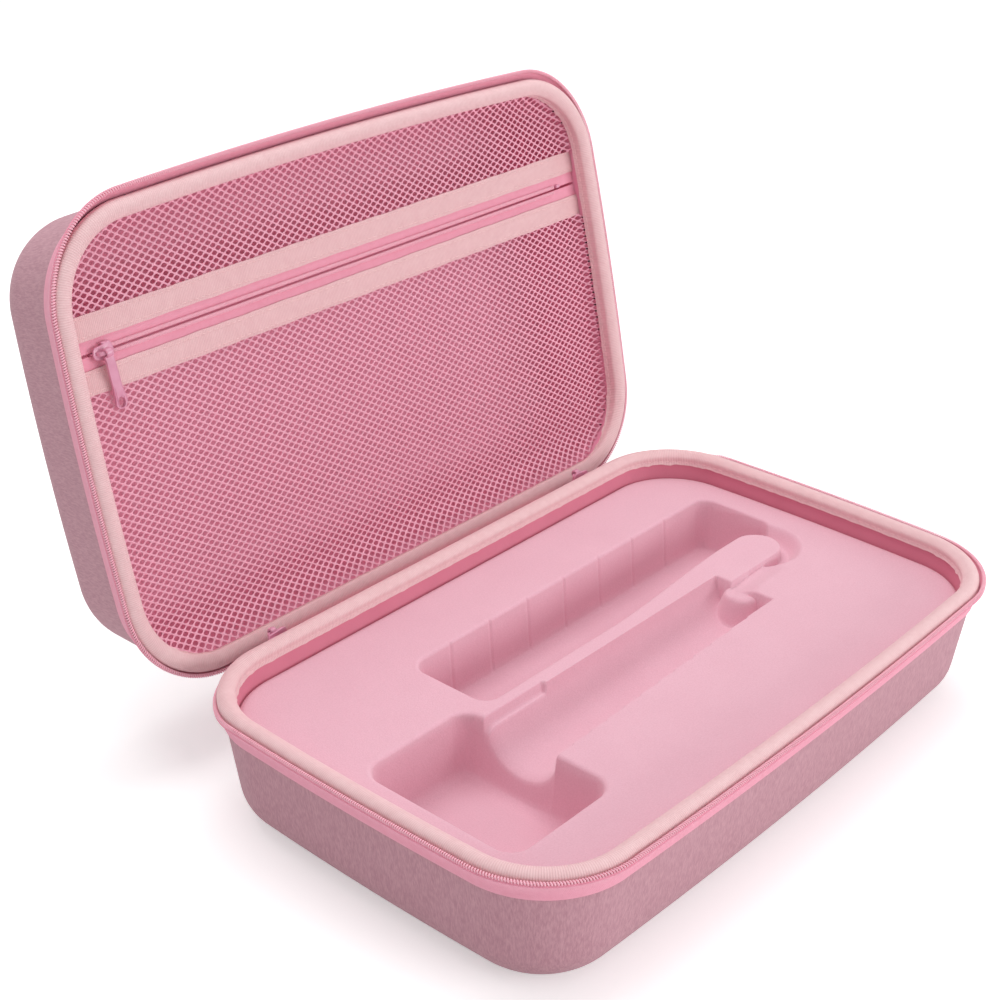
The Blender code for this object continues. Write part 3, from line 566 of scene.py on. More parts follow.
def make_shell(half, look):
    """The outer line starts with a rounded lip, a quarter circle of radius SHELL_EDGE."""
    turn = np.linspace(0, math.pi / 2, 5)
    lip_out = SHELL_OUT - SHELL_EDGE + SHELL_EDGE * np.sin(turn)
    lip = np.stack([lip_out, SHELL_TOP + SHELL_EDGE * (1 - np.cos(turn))], 1)
    outer = np.concatenate([lip, half.wall_line(0, SHELL_TOP + SHELL_EDGE)[1:]])
    inner = half.wall_line(SHELL_WALL, SHELL_TOP)
    return tub(half, f"{half.body}_shell_fabric", outer, inner, look)


def make_lining(half):
    """A thin tub that stands clear of the shell's inside by GAP."""
    # The lid gets the lining painted lighter, which brightens the shade inside it.
    look = LINING if half is BASE else LID_LINING_PAINTED_LIGHTER
    outer = half.wall_line(SHELL_WALL + GAP, LINING_TOP)
    inner = half.wall_line(LINING_FACE, LINING_TOP)
    return tub(half, f"{half.body}_lining_fabric", outer, inner, look)


for half, look in ((BASE, FABRIC_BASE), (LID, FABRIC_LID)):
    make_shell(half, look)
    make_lining(half)
print("shells and linings made")

# %% [markdown]
# The binding is a ribbon folded over the rim and sewn through near its inner edge. Where
# the rim turns, the inner edge has too much length and puckers. So the inner leg's end
# is lifted and dropped by a few waves that grow at the corners.

# %% Binding
BINDING_WALL = 0.0009
BINDING_ARCH = 0.0030
BINDING_OUTER_LEG = 0.0050
INNER_LEG = {"base": 0.0066, "lid": 0.0078}
STITCH_ABOVE_EDGE = 0.0017
GATHER_DROP = 0.0006
GATHER_SWELL = 0.0007
LEG_SWELL = 0.0003
HEM_SWELL, HEM_DROP = 0.0007, 0.0026
HINGE_SIDE, HINGE_FADE = 0.185, 0.050
LID_SHORTER = 0.85


def corner_share(distance):
    """1 in the middle of a corner, 0 on the straights, from how much the normal is turned off the axes."""
    _, normals = rim_at(distance)
    return np.abs(2 * normals[..., 0] * normals[..., 1])


def gathers(distance, seed):
    """Small uneven waves along the rim: a sum of sines with unlike pitches, larger at the corners."""
    turns = distance * 2 * math.pi / RIM_ROUND
    pitches = np.array([61, 97, 143, 211])
    phases = np.random.default_rng(seed).uniform(0, 2 * math.pi, len(pitches))
    waves = np.sin(turns[..., None] * pitches + phases) @ np.array([0.35, 0.3, 0.2, 0.15])
    return waves * (0.35 + 0.65 * corner_share(distance))


def binding_profile(half):
    """(outwards, drop) round the folded ribbon, clear of the wall that it wraps, and the share of the gathers."""
    outside = SHELL_OUT + GAP
    face = LINING_FACE + GAP
    left = half.wall(face + BINDING_WALL, BINDING_ARCH)
    right = outside + BINDING_WALL
    angle = np.linspace(0, math.pi, 15)
    arch_out = (left + right) / 2 + (right - left) / 2 * np.cos(angle)
    arch = np.stack([arch_out, BINDING_ARCH * (1 - np.sin(angle))], 1)
    drops = np.linspace(BINDING_ARCH, INNER_LEG[half.body], 9)[1:]
    inner = np.stack([half.wall(face + BINDING_WALL, drops), drops], 1)
    behind = np.stack([half.wall(face, drops[::-1]), drops[::-1]], 1)
    under = SHELL_TOP - GAP
    crossing = [
        [half.wall(face, under + BINDING_WALL), under + BINDING_WALL],
        [outside - BINDING_WALL, under],
        [outside, under + BINDING_WALL],
    ]
    start = [
        [outside, BINDING_OUTER_LEG],
        [outside + BINDING_WALL * 0.5, BINDING_OUTER_LEG + 0.0002],
        [right, BINDING_OUTER_LEG],
    ]
    line = np.concatenate([start, arch, inner, behind, crossing])
    share = np.clip((line[:, 1] - BINDING_ARCH) / (INNER_LEG[half.body] - BINDING_ARCH), 0, 1)
    share[:3] = 0
    return line, share


def beside_hinge(distance):
    """1 along the hinge, 0 from the back corners on."""
    from_middle = np.minimum(distance, RIM_ROUND - distance)
    return eased(HINGE_SIDE - from_middle, 0, HINGE_FADE)


def make_binding(half, seed):
    """Waves drop the inner leg, which swells between hem and stitches; the lid's is shorter beside the hinge."""
    line, share = binding_profile(half)
    around = np.linspace(0, RIM_ROUND, 1100, endpoint=False)
    short = beside_hinge(around)[:, None] * (LID_SHORTER if half is LID else 0.0)
    wave = gathers(around, seed)[:, None]
    quilt = np.exp(-(((line[:, 1] - INNER_LEG[half.body] + STITCH_ABOVE_EDGE) / 0.0009) ** 2))
    bulge = HEM_SWELL * np.exp(-(((line[:, 1] - HEM_DROP) / 0.0016) ** 2)) * (line[:, 0] < 0)
    out = line[None, :, 0] - (GATHER_SWELL * np.abs(wave) + LEG_SWELL) * share * (1 - quilt) - bulge
    drop = line[None, :, 1] + GATHER_DROP * wave * share**2 - short * share * (line[None, :, 1] - BINDING_ARCH)
    points = half.on_rim(around[:, None], out, drop)
    name = f"{half.body}_binding"
    return closed_band(f"{name}_ribbon", points, BINDING, half.body, [name])


for half, seed in ((BASE, 4), (LID, 9)):
    binding = make_binding(half, seed)
    print(binding.name, "has", len(binding.data.polygons), "faces")

# %% Stitches of the binding
STITCH_PITCH = 0.0038


def stitch(length, radius):
    """A short rounded stitch along its first axis: four rings of six points and two closing faces."""
    angle = np.linspace(0, 2 * math.pi, 6, endpoint=False)
    along, wide = np.array([(-0.5, 0.35), (-0.3, 1.0), (0.3, 1.0), (0.5, 0.35)]).T[:, :, None]
    reach = radius * wide
    rings = np.broadcast_arrays(along * length, reach * np.cos(angle), reach * np.sin(angle))
    return np.stack(rings, -1).reshape(-1, 3), grid_faces(4, 6, False, True, caps=True)


def rim_axes(half, distance):
    """At each distance: along the rim, outwards, and up out of the half."""
    step = 0.0005
    along = unit(half.on_rim(distance + step, 0.0, 0.0) - half.on_rim(distance - step, 0.0, 0.0))
    out = unit(half.on_rim(distance, 0.001, 0.0) - half.on_rim(distance, 0.0, 0.0))
    return np.stack([along, out, np.cross(along, out)], 1)


def sew_binding(half):
    """A row of stitches round the inner leg, on its face; the lid's stops where its leg gets short."""
    distance = np.arange(0, RIM_ROUND, STITCH_PITCH)
    if half is LID:
        distance = distance[beside_hinge(distance) < 0.05]
    level = INNER_LEG[half.body] - STITCH_ABOVE_EDGE
    face = half.wall(LINING_FACE + GAP + BINDING_WALL, level)
    places = half.on_rim(distance, np.full(len(distance), face), level)
    points, faces = copies(stitch(0.0030, 0.00028), places, rim_axes(half, distance))
    return piece(f"{half.body}_binding_stitches", points, faces, THREAD, half.body)


for half in (BASE, LID):
    sew_binding(half)
print("bindings folded and sewn")

# %% [markdown]
# The main zip's tape is sewn to the wall and flares outwards. Its teeth are one nylon
# thread wound as a coil along the tape's edge. So the coil is made as it is in the
# factory: a helix whose axis is the rim, and a small circle carried along the helix.

# %% Tapes of the main zip
TAPE_WALL = 0.0009
TAPE_FOOT = 0.0130
TAPE_BEND = 0.0080
TAPE_TOP = 0.0033
COIL_OUT = 0.0055
COIL_RADIUS = 0.0009
ZIP_END = 0.105
COIL_PITCH = 0.0011
COIL_THREAD = 0.00040
COIL_TUCK = 0.0042
TOP_FLARE = 0.0022
SIDE_FLARE = -0.0012
FLARE_FROM_TO = (0.330, 0.390)
TUCK_UNTIL, TUCK_FADE, TUCK_IN = 0.148, 0.042, 0.0016


def zip_bend(half, distance):
    """How far the zip leans out and sinks: down beside the hinge on the base, outwards along the lid's front."""
    from_middle = np.minimum(distance, RIM_ROUND - distance)
    tucked = 1 - np.clip((from_middle - TUCK_UNTIL) / TUCK_FADE, 0, 1) ** 2
    if half is BASE:
        return -TUCK_IN * tucked, COIL_TUCK * tucked
    spring = SIDE_FLARE + (TOP_FLARE - SIDE_FLARE) * eased(from_middle, *FLARE_FROM_TO)
    return spring * (1 - 0.5 * tucked), 0.0 * distance


def rounded_line(points, steps=6):
    """A smooth line through the middles of a bent line's legs: each bend becomes a parabola."""
    points = np.asarray(points, float)
    middles = (points[1:] + points[:-1]) / 2
    share = np.linspace(0, 1, steps)[:, None]
    bends = [
        (1 - share) ** 2 * a + 2 * share * (1 - share) * b + share**2 * c
        for a, b, c in zip(middles, points[1:-1], middles[1:])
    ]
    return np.concatenate([points[:1], *bends, points[-1:]])


def strip_profile(line, wall):
    """A closed profile round a line: the line pushed to both sides by half the wall."""
    slope = np.gradient(line, axis=0)
    side = np.stack([-slope[:, 1], slope[:, 0]], 1) / np.linalg.norm(slope, axis=1, keepdims=True)
    return np.concatenate([line + side * wall / 2, (line - side * wall / 2)[::-1]])


def make_zip_tape(half):
    """From the wall over a bend to the coil; past the bend the tape leans and sinks as the coil does."""
    seat = GAP + TAPE_WALL / 2
    foot, bend = half.wall(-seat, TAPE_FOOT), half.wall(-seat, TAPE_BEND)
    line = rounded_line([(foot, TAPE_FOOT), (bend, TAPE_BEND), (COIL_OUT + 0.0006, TAPE_TOP - 0.0002)])
    profile = strip_profile(line, TAPE_WALL)
    free = np.clip((TAPE_BEND - profile[:, 1]) / (TAPE_BEND - TAPE_TOP), 0, 1)
    distance = np.linspace(ZIP_END, RIM_ROUND - ZIP_END, 700)[:, None]
    lean, sink = zip_bend(half, distance)
    points = half.on_rim(distance, profile[None, :, 0] + lean * free, profile[None, :, 1] + sink * free)
    name = f"{half.body}_zip_tape"
    return closed_band(f"{name}_weave", points, TAPE, half.body, [name], False)


for half in (BASE, LID):
    tape = make_zip_tape(half)
    print(tape.name, "has", len(tape.data.polygons), "faces")

# %% Coils of the main zip
def helix_tube(centre, axes, pitch, reach, thread, turns, steps, sides):
    """A tube round a helix: centre + reach 1 x cos(a) x axis 2 + reach 2 x sin(a) x axis 3, once a pitch."""
    angle = np.linspace(0, 2 * math.pi * turns, turns * steps + 1)
    distance = angle / (2 * math.pi) * pitch
    along, first, second = np.moveaxis(axes(distance), 1, 0)
    outwards, upwards = reach[0] * np.cos(angle)[:, None], reach[1] * np.sin(angle)[:, None]
    middle = centre(distance) + outwards * first + upwards * second
    tangent = unit(np.gradient(middle, axis=0))
    side = unit(np.cross(tangent, along))
    other = np.cross(tangent, side)
    ring = np.linspace(0, 2 * math.pi, sides, endpoint=False)[:, None]
    return middle[:, None] + thread * (np.cos(ring) * side[:, None] + np.sin(ring) * other[:, None])


def make_coil(half):
    """The helix runs from one end of the zip round the front to the other, in whole turns."""
    length = RIM_ROUND - 2 * ZIP_END
    turns = int(length / COIL_PITCH)
    drop = TAPE_TOP - GAP - COIL_RADIUS
    reach = (COIL_RADIUS - COIL_THREAD + 0.0002, COIL_RADIUS - COIL_THREAD)

    def axes(distance):
        return rim_axes(half, ZIP_END + distance)

    def middle(distance):
        lean, sink = zip_bend(half, ZIP_END + distance)
        return half.on_rim(ZIP_END + distance, COIL_OUT + lean, drop + sink)

    points = helix_tube(middle, axes, length / turns, reach, COIL_THREAD, turns, 10, 5)
    name = f"{half.body}_zip_coil"
    return closed_band(f"{name}_wound", points, COIL, half.body, [name], False)


for half in (BASE, LID):
    coil = make_coil(half)
    print(coil.name, "has", len(coil.data.polygons), "faces")

# %% [markdown]
# The tray is one sheet of soft plastic drawn into a mould and flocked. Seen from above
# it has one depth at every place, so its top is a function of x and y. Each hollow is a
# distance to its outline, and its wall is a profile over that distance: a rounded lip,
# a leaning wall and a rounded foot. The deepest hollow wins. Grid lines crowd together
# where walls stand.

# %% Distances and wall profiles
INSERT_DROP = 0.0140
INSERT_EDGE = 0.0030


def box_distance(x, y, left, right, front, back, radius):
    """Distance inside a rounded box, positive within it."""
    across = np.abs(x - (left + right) / 2) - (right - left) / 2 + radius
    along = np.abs(y - (front + back) / 2) - (back - front) / 2 + radius
    outside = np.hypot(np.maximum(across, 0), np.maximum(along, 0))
    return radius - outside - np.minimum(np.maximum(across, along), 0)


def clamp_to_outline(across, up, outwards):
    """Moves points that lie outside the rim's outline at an offset on to it, along the way to the nearest point."""
    y = RIM_DEPTH / 2 - up
    x_in, y_in = RIM_LENGTH / 2 - CORNER_RADIUS, RIM_DEPTH / 2 - CORNER_RADIUS
    radius = CORNER_RADIUS + outwards
    dx = np.sign(across) * np.maximum(np.abs(across) - x_in, 0)
    dy = np.sign(y) * np.maximum(np.abs(y) - y_in, 0)
    length = np.maximum(np.hypot(dx, dy), 1e-9)
    swell_x = END_BOW * np.clip(1 - (y / y_in) ** 2, 0, 1)
    swell_y = FRONT_BOW * np.clip(1 - (across / x_in) ** 2, 0, 1) * (y < 0)
    allowed = radius + np.where(np.abs(dx) > np.abs(dy), swell_x, swell_y)
    share = np.minimum(1, allowed / length)
    inside = allowed - length
    return across - dx * (1 - share), RIM_DEPTH / 2 - (y - dy * (1 - share)), inside


def wall_depth(inside, deep, draft, lip, foot):
    """Depth over the distance inside an outline: an arc, a leaning wall, an arc, a floor."""
    lean = math.atan2(draft, deep)
    bend = math.pi / 2 - lean
    turn = np.linspace(0, bend, 8)
    reach = lip * math.tan(bend / 2)
    top = np.stack([-reach + lip * np.sin(turn), lip * (1 - np.cos(turn))], 1)
    run = foot * math.tan(bend / 2)
    back = turn[::-1]
    low = np.stack([draft + run - foot * np.sin(back), deep - foot * (1 - np.cos(back))], 1)
    line = np.concatenate([top, low])
    return np.interp(inside, line[:, 0], line[:, 1])


floor_depth = float(wall_depth(np.array([0.02]), 0.028, 0.0025, 0.0015, 0.004)[0])
print("a 28 mm wall reaches", round(floor_depth * 1000, 1), "mm")

# %% The tray's hollows
CHANNEL = (-0.076, 0.148, 0.0135, 0.0595, 0.008)
CHANNEL_DEEP = 0.028
POCKET = (-0.1482, -0.0852, -0.0655, 0.0180, 0.0095)
POCKET_DEEP = 0.032
TROUGH_BACK = 0.0048
TROUGH_FRONT_LEFT, TROUGH_FRONT_RIGHT = -0.0345, -0.0285
TROUGH_END = 0.0845
NOSE_X, NOSE_Y, NOSE_RADIUS = 0.1238, 0.0080, 0.0122
PATH_X, PATH_Y, PATH_RADIUS = 0.1240, 0.0095, 0.0232
BOSS_X, BOSS_Y, BOSS_RADIUS = 0.0850, -0.0110, 0.0084
GROOVES_X = -0.050 + 0.0273 * np.arange(7)
GROOVE_HALF = 0.0008
GROOVE_DEEP = 0.0005


def channel_depth(x, y):
    """The back channel, with seven grooves cut a little way into its back wall."""
    grooves = sum(np.exp(-(((x - groove) / GROOVE_HALF) ** 4)) for groove in GROOVES_X)
    inside = box_distance(x, y, *CHANNEL) + GROOVE_DEEP * grooves * (y > 0.050)
    front = CHANNEL[2]
    ridge = y - front - (NOSE_Y + NOSE_RADIUS - front) * eased(x, 0.010, 0.115)
    inside = np.minimum(inside, np.where(x < NOSE_X, ridge, np.hypot(x - NOSE_X, y - NOSE_Y) - NOSE_RADIUS))
    return wall_depth(inside, CHANNEL_DEEP, 0.0025, 0.0018, 0.0022)


def trough_depth(x, y):
    """The half-round cradle: a circle's depth over y, whose width narrows from head to handle."""
    front = TROUGH_FRONT_LEFT + (TROUGH_FRONT_RIGHT - TROUGH_FRONT_LEFT) * np.clip((x + 0.084) / 0.163, 0, 1)
    middle, reach = (TROUGH_BACK + front) / 2, (TROUGH_BACK - front) / 2
    inside = reach - np.abs(y - middle)
    round_floor = reach * np.sqrt(np.clip(1 - ((y - middle) / reach) ** 2, 0, 1))
    soft = wall_depth(inside, 0.020, 0.0005, 0.0026, 0.001)
    boss = wall_depth(np.hypot(x - BOSS_X, y - BOSS_Y) - BOSS_RADIUS, 0.020, 0.0070, 0.0035, 0.006) + 0.0032
    end = wall_depth(TROUGH_END - x, 0.020, 0.0015, 0.0015, 0.003)
    return np.where(x > -0.120, np.minimum.reduce([round_floor, soft, end, boss]), 0)


def ledge_depth(x, y):
    """The cord's ramp: deepest on the boss, rising along x to the tray's top beside the nose."""
    rise = 0.0040 * (1 - 0.3 * eased(x, 0.080, 0.105)) * (1 - eased(x, 0.107, 0.119))
    ramp = np.minimum(wall_depth(NOSE_Y - NOSE_RADIUS - y, 0.006, 0.0006, 0.0010, 0.0012), rise)
    last = 0.0175 + 0.0060 * (1 - eased(x, 0.078, 0.092))
    soft_front = 1 - eased(-y - 0.0065, 0.0, last - 0.0065)
    return np.where(x > 0.070, ramp * soft_front, 0)


def path_depth(x, y):
    """The scoop round the nose's end, between two circles, from beside the ramp into the channel."""
    from_nose = np.hypot(x - NOSE_X, y - NOSE_Y) - NOSE_RADIUS
    from_nose = np.where(x < NOSE_X, NOSE_Y - NOSE_RADIUS - y, from_nose)
    to_outside = PATH_RADIUS - np.hypot(x - PATH_X, np.where(x < PATH_X, 1.02 * (y - PATH_Y), y - PATH_Y))
    inner = wall_depth(from_nose, 0.010, 0.0008, 0.0012, 0.002)
    outer = 0.0066 * eased(to_outside, -0.0012, 0.0060)
    start = eased(x - 0.35 * (y + 0.010), 0.1035, 0.1055) * (0.35 + 0.65 * eased(x, 0.104, 0.125))
    into_channel = 1 + 2.2 * eased(y, 0.010, 0.030)
    return np.where(x > 0.100, np.minimum(inner, outer * into_channel) * start, 0)


def tray_depth(x, y):
    """The deepest hollow wins; the pocket takes what the trough leaves: trough + (1 - trough / deep) x pocket."""
    pocket = wall_depth(box_distance(x, y, *POCKET), POCKET_DEEP, 0.0028, 0.0024, 0.006)
    tongue = wall_depth(box_distance(x, y, *POCKET), POCKET_DEEP, 0.0028, 0.0070, 0.006)
    notch = wall_depth(box_distance(x, y, -0.090, -0.0455, -0.004, 0.0072, 0.0015), 0.005, 0.0008, 0.0006, 0.001)
    trough = np.maximum(trough_depth(x, y), notch)
    softer = np.clip(trough / 0.006, 0, 1)
    pocket = pocket + (tongue - pocket) * softer
    joined = trough + (1 - trough / POCKET_DEEP) * pocket
    return np.maximum.reduce([channel_depth(x, y), joined, ledge_depth(x, y), path_depth(x, y)])


print("the trough is", round(float(tray_depth(0.0, -0.0135)) * 1000, 1), "mm deep at its middle")

# %% The tray's grid
FINE_X, FINE_Y, COARSE = 0.0006, 0.0005, 0.0018
TRAY_HEIGHT = 0.036
TRAY_TAPER = 0.965


def crowded(low, high, tight, fine, coarse):
    """Lines from low to high: fine steps inside the tight stretches and coarse ones between."""
    dense = np.linspace(low, high, 4001)
    wanted = np.full(len(dense), coarse)
    for start, end in tight:
        wanted[(dense > start) & (dense < end)] = fine
    count = np.concatenate([[0], np.cumsum((high - low) / 4000 / wanted[1:])])
    return np.interp(np.linspace(0, count[-1], int(count[-1]) + 1), count, dense)


def make_tray():
    """The top grid is squeezed row by row into the rounded outline, then lowered by the depth."""
    inset = LINING_FACE + GAP
    edge = float(BASE.wall(inset, INSERT_DROP))
    half_x, half_y = RIM_LENGTH / 2 + edge, RIM_DEPTH / 2 + edge
    radius = CORNER_RADIUS + edge
    tight_x = [(-0.167, -0.161), (-0.154, -0.140), (-0.094, -0.066), (-0.050, -0.040), (0.060, 0.150), (0.161, 0.167)]
    tight_x += [(groove - 0.002, groove + 0.002) for groove in GROOVES_X]
    tight_y = [(-0.104, -0.098), (-0.067, -0.055), (-0.036, -0.027), (-0.022, 0.024), (0.052, 0.063), (0.096, 0.101)]
    lines_x = crowded(-half_x, half_x, tight_x, FINE_X, COARSE)
    lines_y = crowded(-half_y, half_y, tight_y, FINE_Y, COARSE)
    y = np.broadcast_to(lines_y[:, None], (len(lines_y), len(lines_x)))
    past = np.clip(np.abs(y) - (half_y - radius), 0, radius)
    width = half_x - radius + np.sqrt(np.maximum(radius**2 - past**2, 0))
    x = lines_x[None] * width / half_x
    x = x + np.sign(x) * END_BOW * (np.abs(x) / half_x) * np.clip(1 - (y / (half_y - radius)) ** 2, 0, 1)
    y = y - FRONT_BOW * np.clip(-y / half_y, 0, 1) * np.clip(1 - (x / (half_x - radius)) ** 2, 0, 1)
    depth = tray_depth(x, y)
    _, _, margin = clamp_to_outline(x, RIM_DEPTH / 2 - y, edge)
    fall = INSERT_EDGE - np.sqrt(np.maximum(INSERT_EDGE**2 - np.clip(INSERT_EDGE - margin, 0, INSERT_EDGE) ** 2, 0))
    top = BASE.at(np.stack([x, y], -1), INSERT_DROP + np.maximum(depth, fall))
    rows, columns = x.shape
    faces = grid_faces(rows, columns)
    number = np.arange(rows * columns).reshape(rows, columns)
    border = np.concatenate([number[0], number[1:, -1], number[-1, -2::-1], number[-2:0:-1, 0]])
    rim = top.reshape(-1, 3)[border]
    low = rim.copy()
    low[:, 2] = BASE.crest - INSERT_DROP - TRAY_HEIGHT
    low[:, :2] *= TRAY_TAPER
    points = np.concatenate([top.reshape(-1, 3), low])
    under = np.arange(len(border)) + rows * columns
    faces += np.stack([border, under, np.roll(under, -1), np.roll(border, -1)], 1).tolist()
    faces.append(under.tolist())
    print("tray grid:", rows, "by", columns)
    return piece("insert_tray_flocked", points, faces, FLOCK, "base", ["insert_tray"], sharp=70)


make_tray()

# %% [markdown]
# The net is knitted with rounded gaps in staggered rows. Each gap is one cell of a
# lattice: a rounded ring inside a diamond border that it shares with its neighbours.
# Border points stand forward and back, ring points lie between, so each strand is round
# from both sides.

# %% Net
NET_DROP = 0.0116
NET_ROW = 0.00513
NET_RISE = 0.0035
NET_HOLE = 0.66
NET_ROUND = 1.35
NET_TUCK = 0.0034
NET_HINGE_RISE = 0.0072
BAND_CENTRE = 0.152
TRIM_WIDTH = 0.011
POCKET_ZIP_WIDTH = 0.0125
STRAND = 0.00034
CELL_POINTS = 8
MERGE = 2e-6


def lid_place(across, up, drop):
    """A place in the lid: across the case, up from its rim at the hinge, and below its crest."""
    flat = np.stack(np.broadcast_arrays(across, RIM_DEPTH / 2 - np.asarray(up, float)), -1)
    return LID.at(flat, drop)


def net_swell(across, up):
    """How far the net's plane wavers: slack ripples near the right end, and a shallow sag elsewhere."""
    near_end = np.exp(-(((across - 0.128) / 0.030) ** 2))
    ripple = 0.0004 * np.sin((across * 0.8 + up * 0.35) * 2 * math.pi / 0.034) * near_end
    sag = 0.0004 * np.sin(across * 41 + 1.0) * np.sin(up * 37)
    return ripple + sag


def net_cell():
    """(border, ring): 8 points of a diamond, and 8 on |x / a|^p + |y / b|^p = 1 in the same directions."""
    a, b = NET_ROW / 2, NET_RISE / 2
    diamond = np.array([(a, 0), (0, b), (-a, 0), (0, -b)])
    border = np.stack([diamond, (diamond + np.roll(diamond, -1, 0)) / 2], 1).reshape(-1, 2)
    angle = np.arctan2(border[:, 1], border[:, 0])
    across, up = np.abs(np.cos(angle) / (NET_HOLE * a)), np.abs(np.sin(angle) / (NET_HOLE * b))
    reach = (across**NET_ROUND + up**NET_ROUND) ** (-1 / NET_ROUND)
    return border, np.stack([reach * np.cos(angle), reach * np.sin(angle)], 1)


def make_net(side, low, high):
    """A cell at each centre of a staggered lattice, as three loops; points that meet become one."""
    border, ring = net_cell()
    out = float(LID.wall(LINING_FACE + GAP, NET_DROP))
    columns = np.arange(-70, 71)
    rows = np.arange(-2, int(RIM_DEPTH / NET_RISE) + 3)
    i, j = np.meshgrid(columns, rows)
    cx = (i * NET_ROW / 2).ravel()
    cy = (j * NET_RISE + (i % 2) * NET_RISE / 2).ravel()
    _, _, room = clamp_to_outline(cx, cy, out)
    keep = (room > -0.0005) & (cy > low) & (cy < high)
    cx, cy = cx[keep], cy[keep]
    middle = np.stack([cx, cy], 1)[:, None]
    loops = [(middle + border, -STRAND), (middle + ring, 0.0), (middle + border, STRAND)]
    points = []
    for flat, depth in loops:
        up = np.clip(flat[..., 1], low, high)
        across, up, inside = clamp_to_outline(flat[..., 0], up, out)
        tuck = NET_TUCK * np.clip(1 - inside / 0.006, 0, 1) ** 2 * (np.abs(up - BAND_CENTRE) > 0.017)
        thin = depth * (inside > 1e-6)
        slope = NET_HINGE_RISE * np.clip(1 - (up + out) / 0.017, 0, 1) ** 2
        drop = NET_DROP + 0.0003 - np.maximum(tuck, slope) + net_swell(across, up) + thin
        points.append(lid_place(across, up, drop))
    points = np.stack(points, 1)
    count = len(cx)
    number = np.arange(count * len(loops) * CELL_POINTS).reshape(count, len(loops), CELL_POINTS)
    after = np.roll(number, -1, 2)
    quads = [np.stack([number[:, k], after[:, k], after[:, k + 1], number[:, k + 1]], -1) for k in (0, 1)]
    faces = np.concatenate(quads).reshape(-1, 4)
    flat_points = points.reshape(-1, 3)
    keys = np.round(flat_points / MERGE).astype(np.int64)
    _, first, back = np.unique(keys, axis=0, return_index=True, return_inverse=True)
    faces = back.reshape(-1)[faces]
    whole = (faces != np.roll(faces, 1, 1)).all(1)
    name = f"pocket_net_{side}"
    made = piece(f"{name}_knit", flat_points[first], faces[whole].tolist(), NET, "lid", [name], sharp=80)
    print(side, "net:", count, "gaps,", len(made.data.polygons), "faces")
    return made


NET_LOW_TOP = BAND_CENTRE - POCKET_ZIP_WIDTH / 2 - 0.003
NET_HIGH_FOOT = BAND_CENTRE + POCKET_ZIP_WIDTH / 2 + 0.003
lower_net = make_net("lower", 0.0, NET_LOW_TOP)
upper_net = make_net("upper", NET_HIGH_FOOT, RIM_DEPTH)

# %% [markdown]
# Two ribbed trims cover the raw edges of the net, and the pocket's zip lies between
# them. Each is a flat ribbon from wall to wall, a closed box profile with slightly
# wavering edges, and two rows of stitches run along it.

# %% Trims, pocket tapes and their stitches
TRIM_DROP = 0.0108
TRIM_WALL = 0.0005
NET_WALL = 0.0006
TAPE_UNDER_TRIM = 0.002
STITCH_INSETS = (0.0018, TRIM_WIDTH - 0.0016)
LID_RISE = lid_place(0, 1, 0) - lid_place(0, 0, 0)
LID_FRONT = lid_place(0, 0, 0) - lid_place(0, 0, 1)
LID_AXES = np.stack([[1, 0, 0], LID_RISE, LID_FRONT])


def half_width_at(up, drop):
    """How far across the lid's inside reaches at a height up the lid."""
    out = float(LID.wall(LINING_FACE + GAP, drop))
    across, _, _ = clamp_to_outline(np.full(np.shape(up), 1.0), np.asarray(up, float), out)
    return across


def cross_strip(name, low, high, drop, wall, look, nodes, slot, waver, hump, seed):
    """A ribbon across the lid between two heights, its ends on the lining, its edges wavering a little."""
    share = np.linspace(-1, 1, 260)
    across = np.linspace(0, 1, 7)
    phase = np.random.default_rng(seed).uniform(0, 6.28, 4)
    wave = waver * (np.sin(share * 23 + phase[0]) * 0.5 + np.sin(share * 61 + phase[1]) * 0.5)
    front = drop - hump * np.sin(across * math.pi)
    up = low + (high - low) * across
    tops, lows = [], []
    for levels, store in ((front, tops), (np.full(7, drop + wall), lows)):
        for u, level in zip(up, levels):
            height = u + wave * (1 if u > (low + high) / 2 else -1)
            reach = half_width_at(height, level)
            store.append(lid_place(share * reach, height, level + net_swell(share * reach, height) * 0.3))
    points = np.stack(tops + lows[::-1], 1)
    return closed_band(name, points, look, "lid", nodes, False)


def straight_stitches(name, up, drop, pitch, length, radius):
    """A row of stitches straight across the lid."""
    reach = float(half_width_at(np.array(up), drop)) - 0.002
    across = np.arange(-reach, reach, pitch)
    places = lid_place(across, np.full(len(across), up), drop + net_swell(across, up) * 0.3)
    points, faces = copies(stitch(length, radius), places, np.tile(LID_AXES, (len(across), 1, 1)))
    return piece(name, points, faces, THREAD, "lid")


zip_half = POCKET_ZIP_WIDTH / 2
trims, tapes = [], []
for side, sign, seed in (("upper", 1, 3), ("lower", -1, 8)):
    trim, tape = f"pocket_trim_{side}", f"pocket_zip_tape_{side}"
    ends = sorted((BAND_CENTRE + sign * zip_half, BAND_CENTRE + sign * (zip_half + TRIM_WIDTH)))
    trims.append(cross_strip(
        f"{trim}_ribbon", *ends, TRIM_DROP, TRIM_WALL, TRIM, [trim], "ribbed_trim", 0.00015, 0.0002, seed))
    for k, inset in enumerate(STITCH_INSETS):
        row_up = BAND_CENTRE + sign * (zip_half + inset)
        straight_stitches(f"{trim}_stitches_{k + 1}", row_up, TRIM_DROP - 0.00015, 0.0036, 0.0028, 0.00022)
    ends = sorted((BAND_CENTRE + sign * 0.0007, BAND_CENTRE + sign * (zip_half + TAPE_UNDER_TRIM)))
    tapes.append(cross_strip(
        f"{tape}_weave", *ends, NET_DROP, NET_WALL, TAPE, [tape], "zip_tape", 0.0, 0.0, seed))
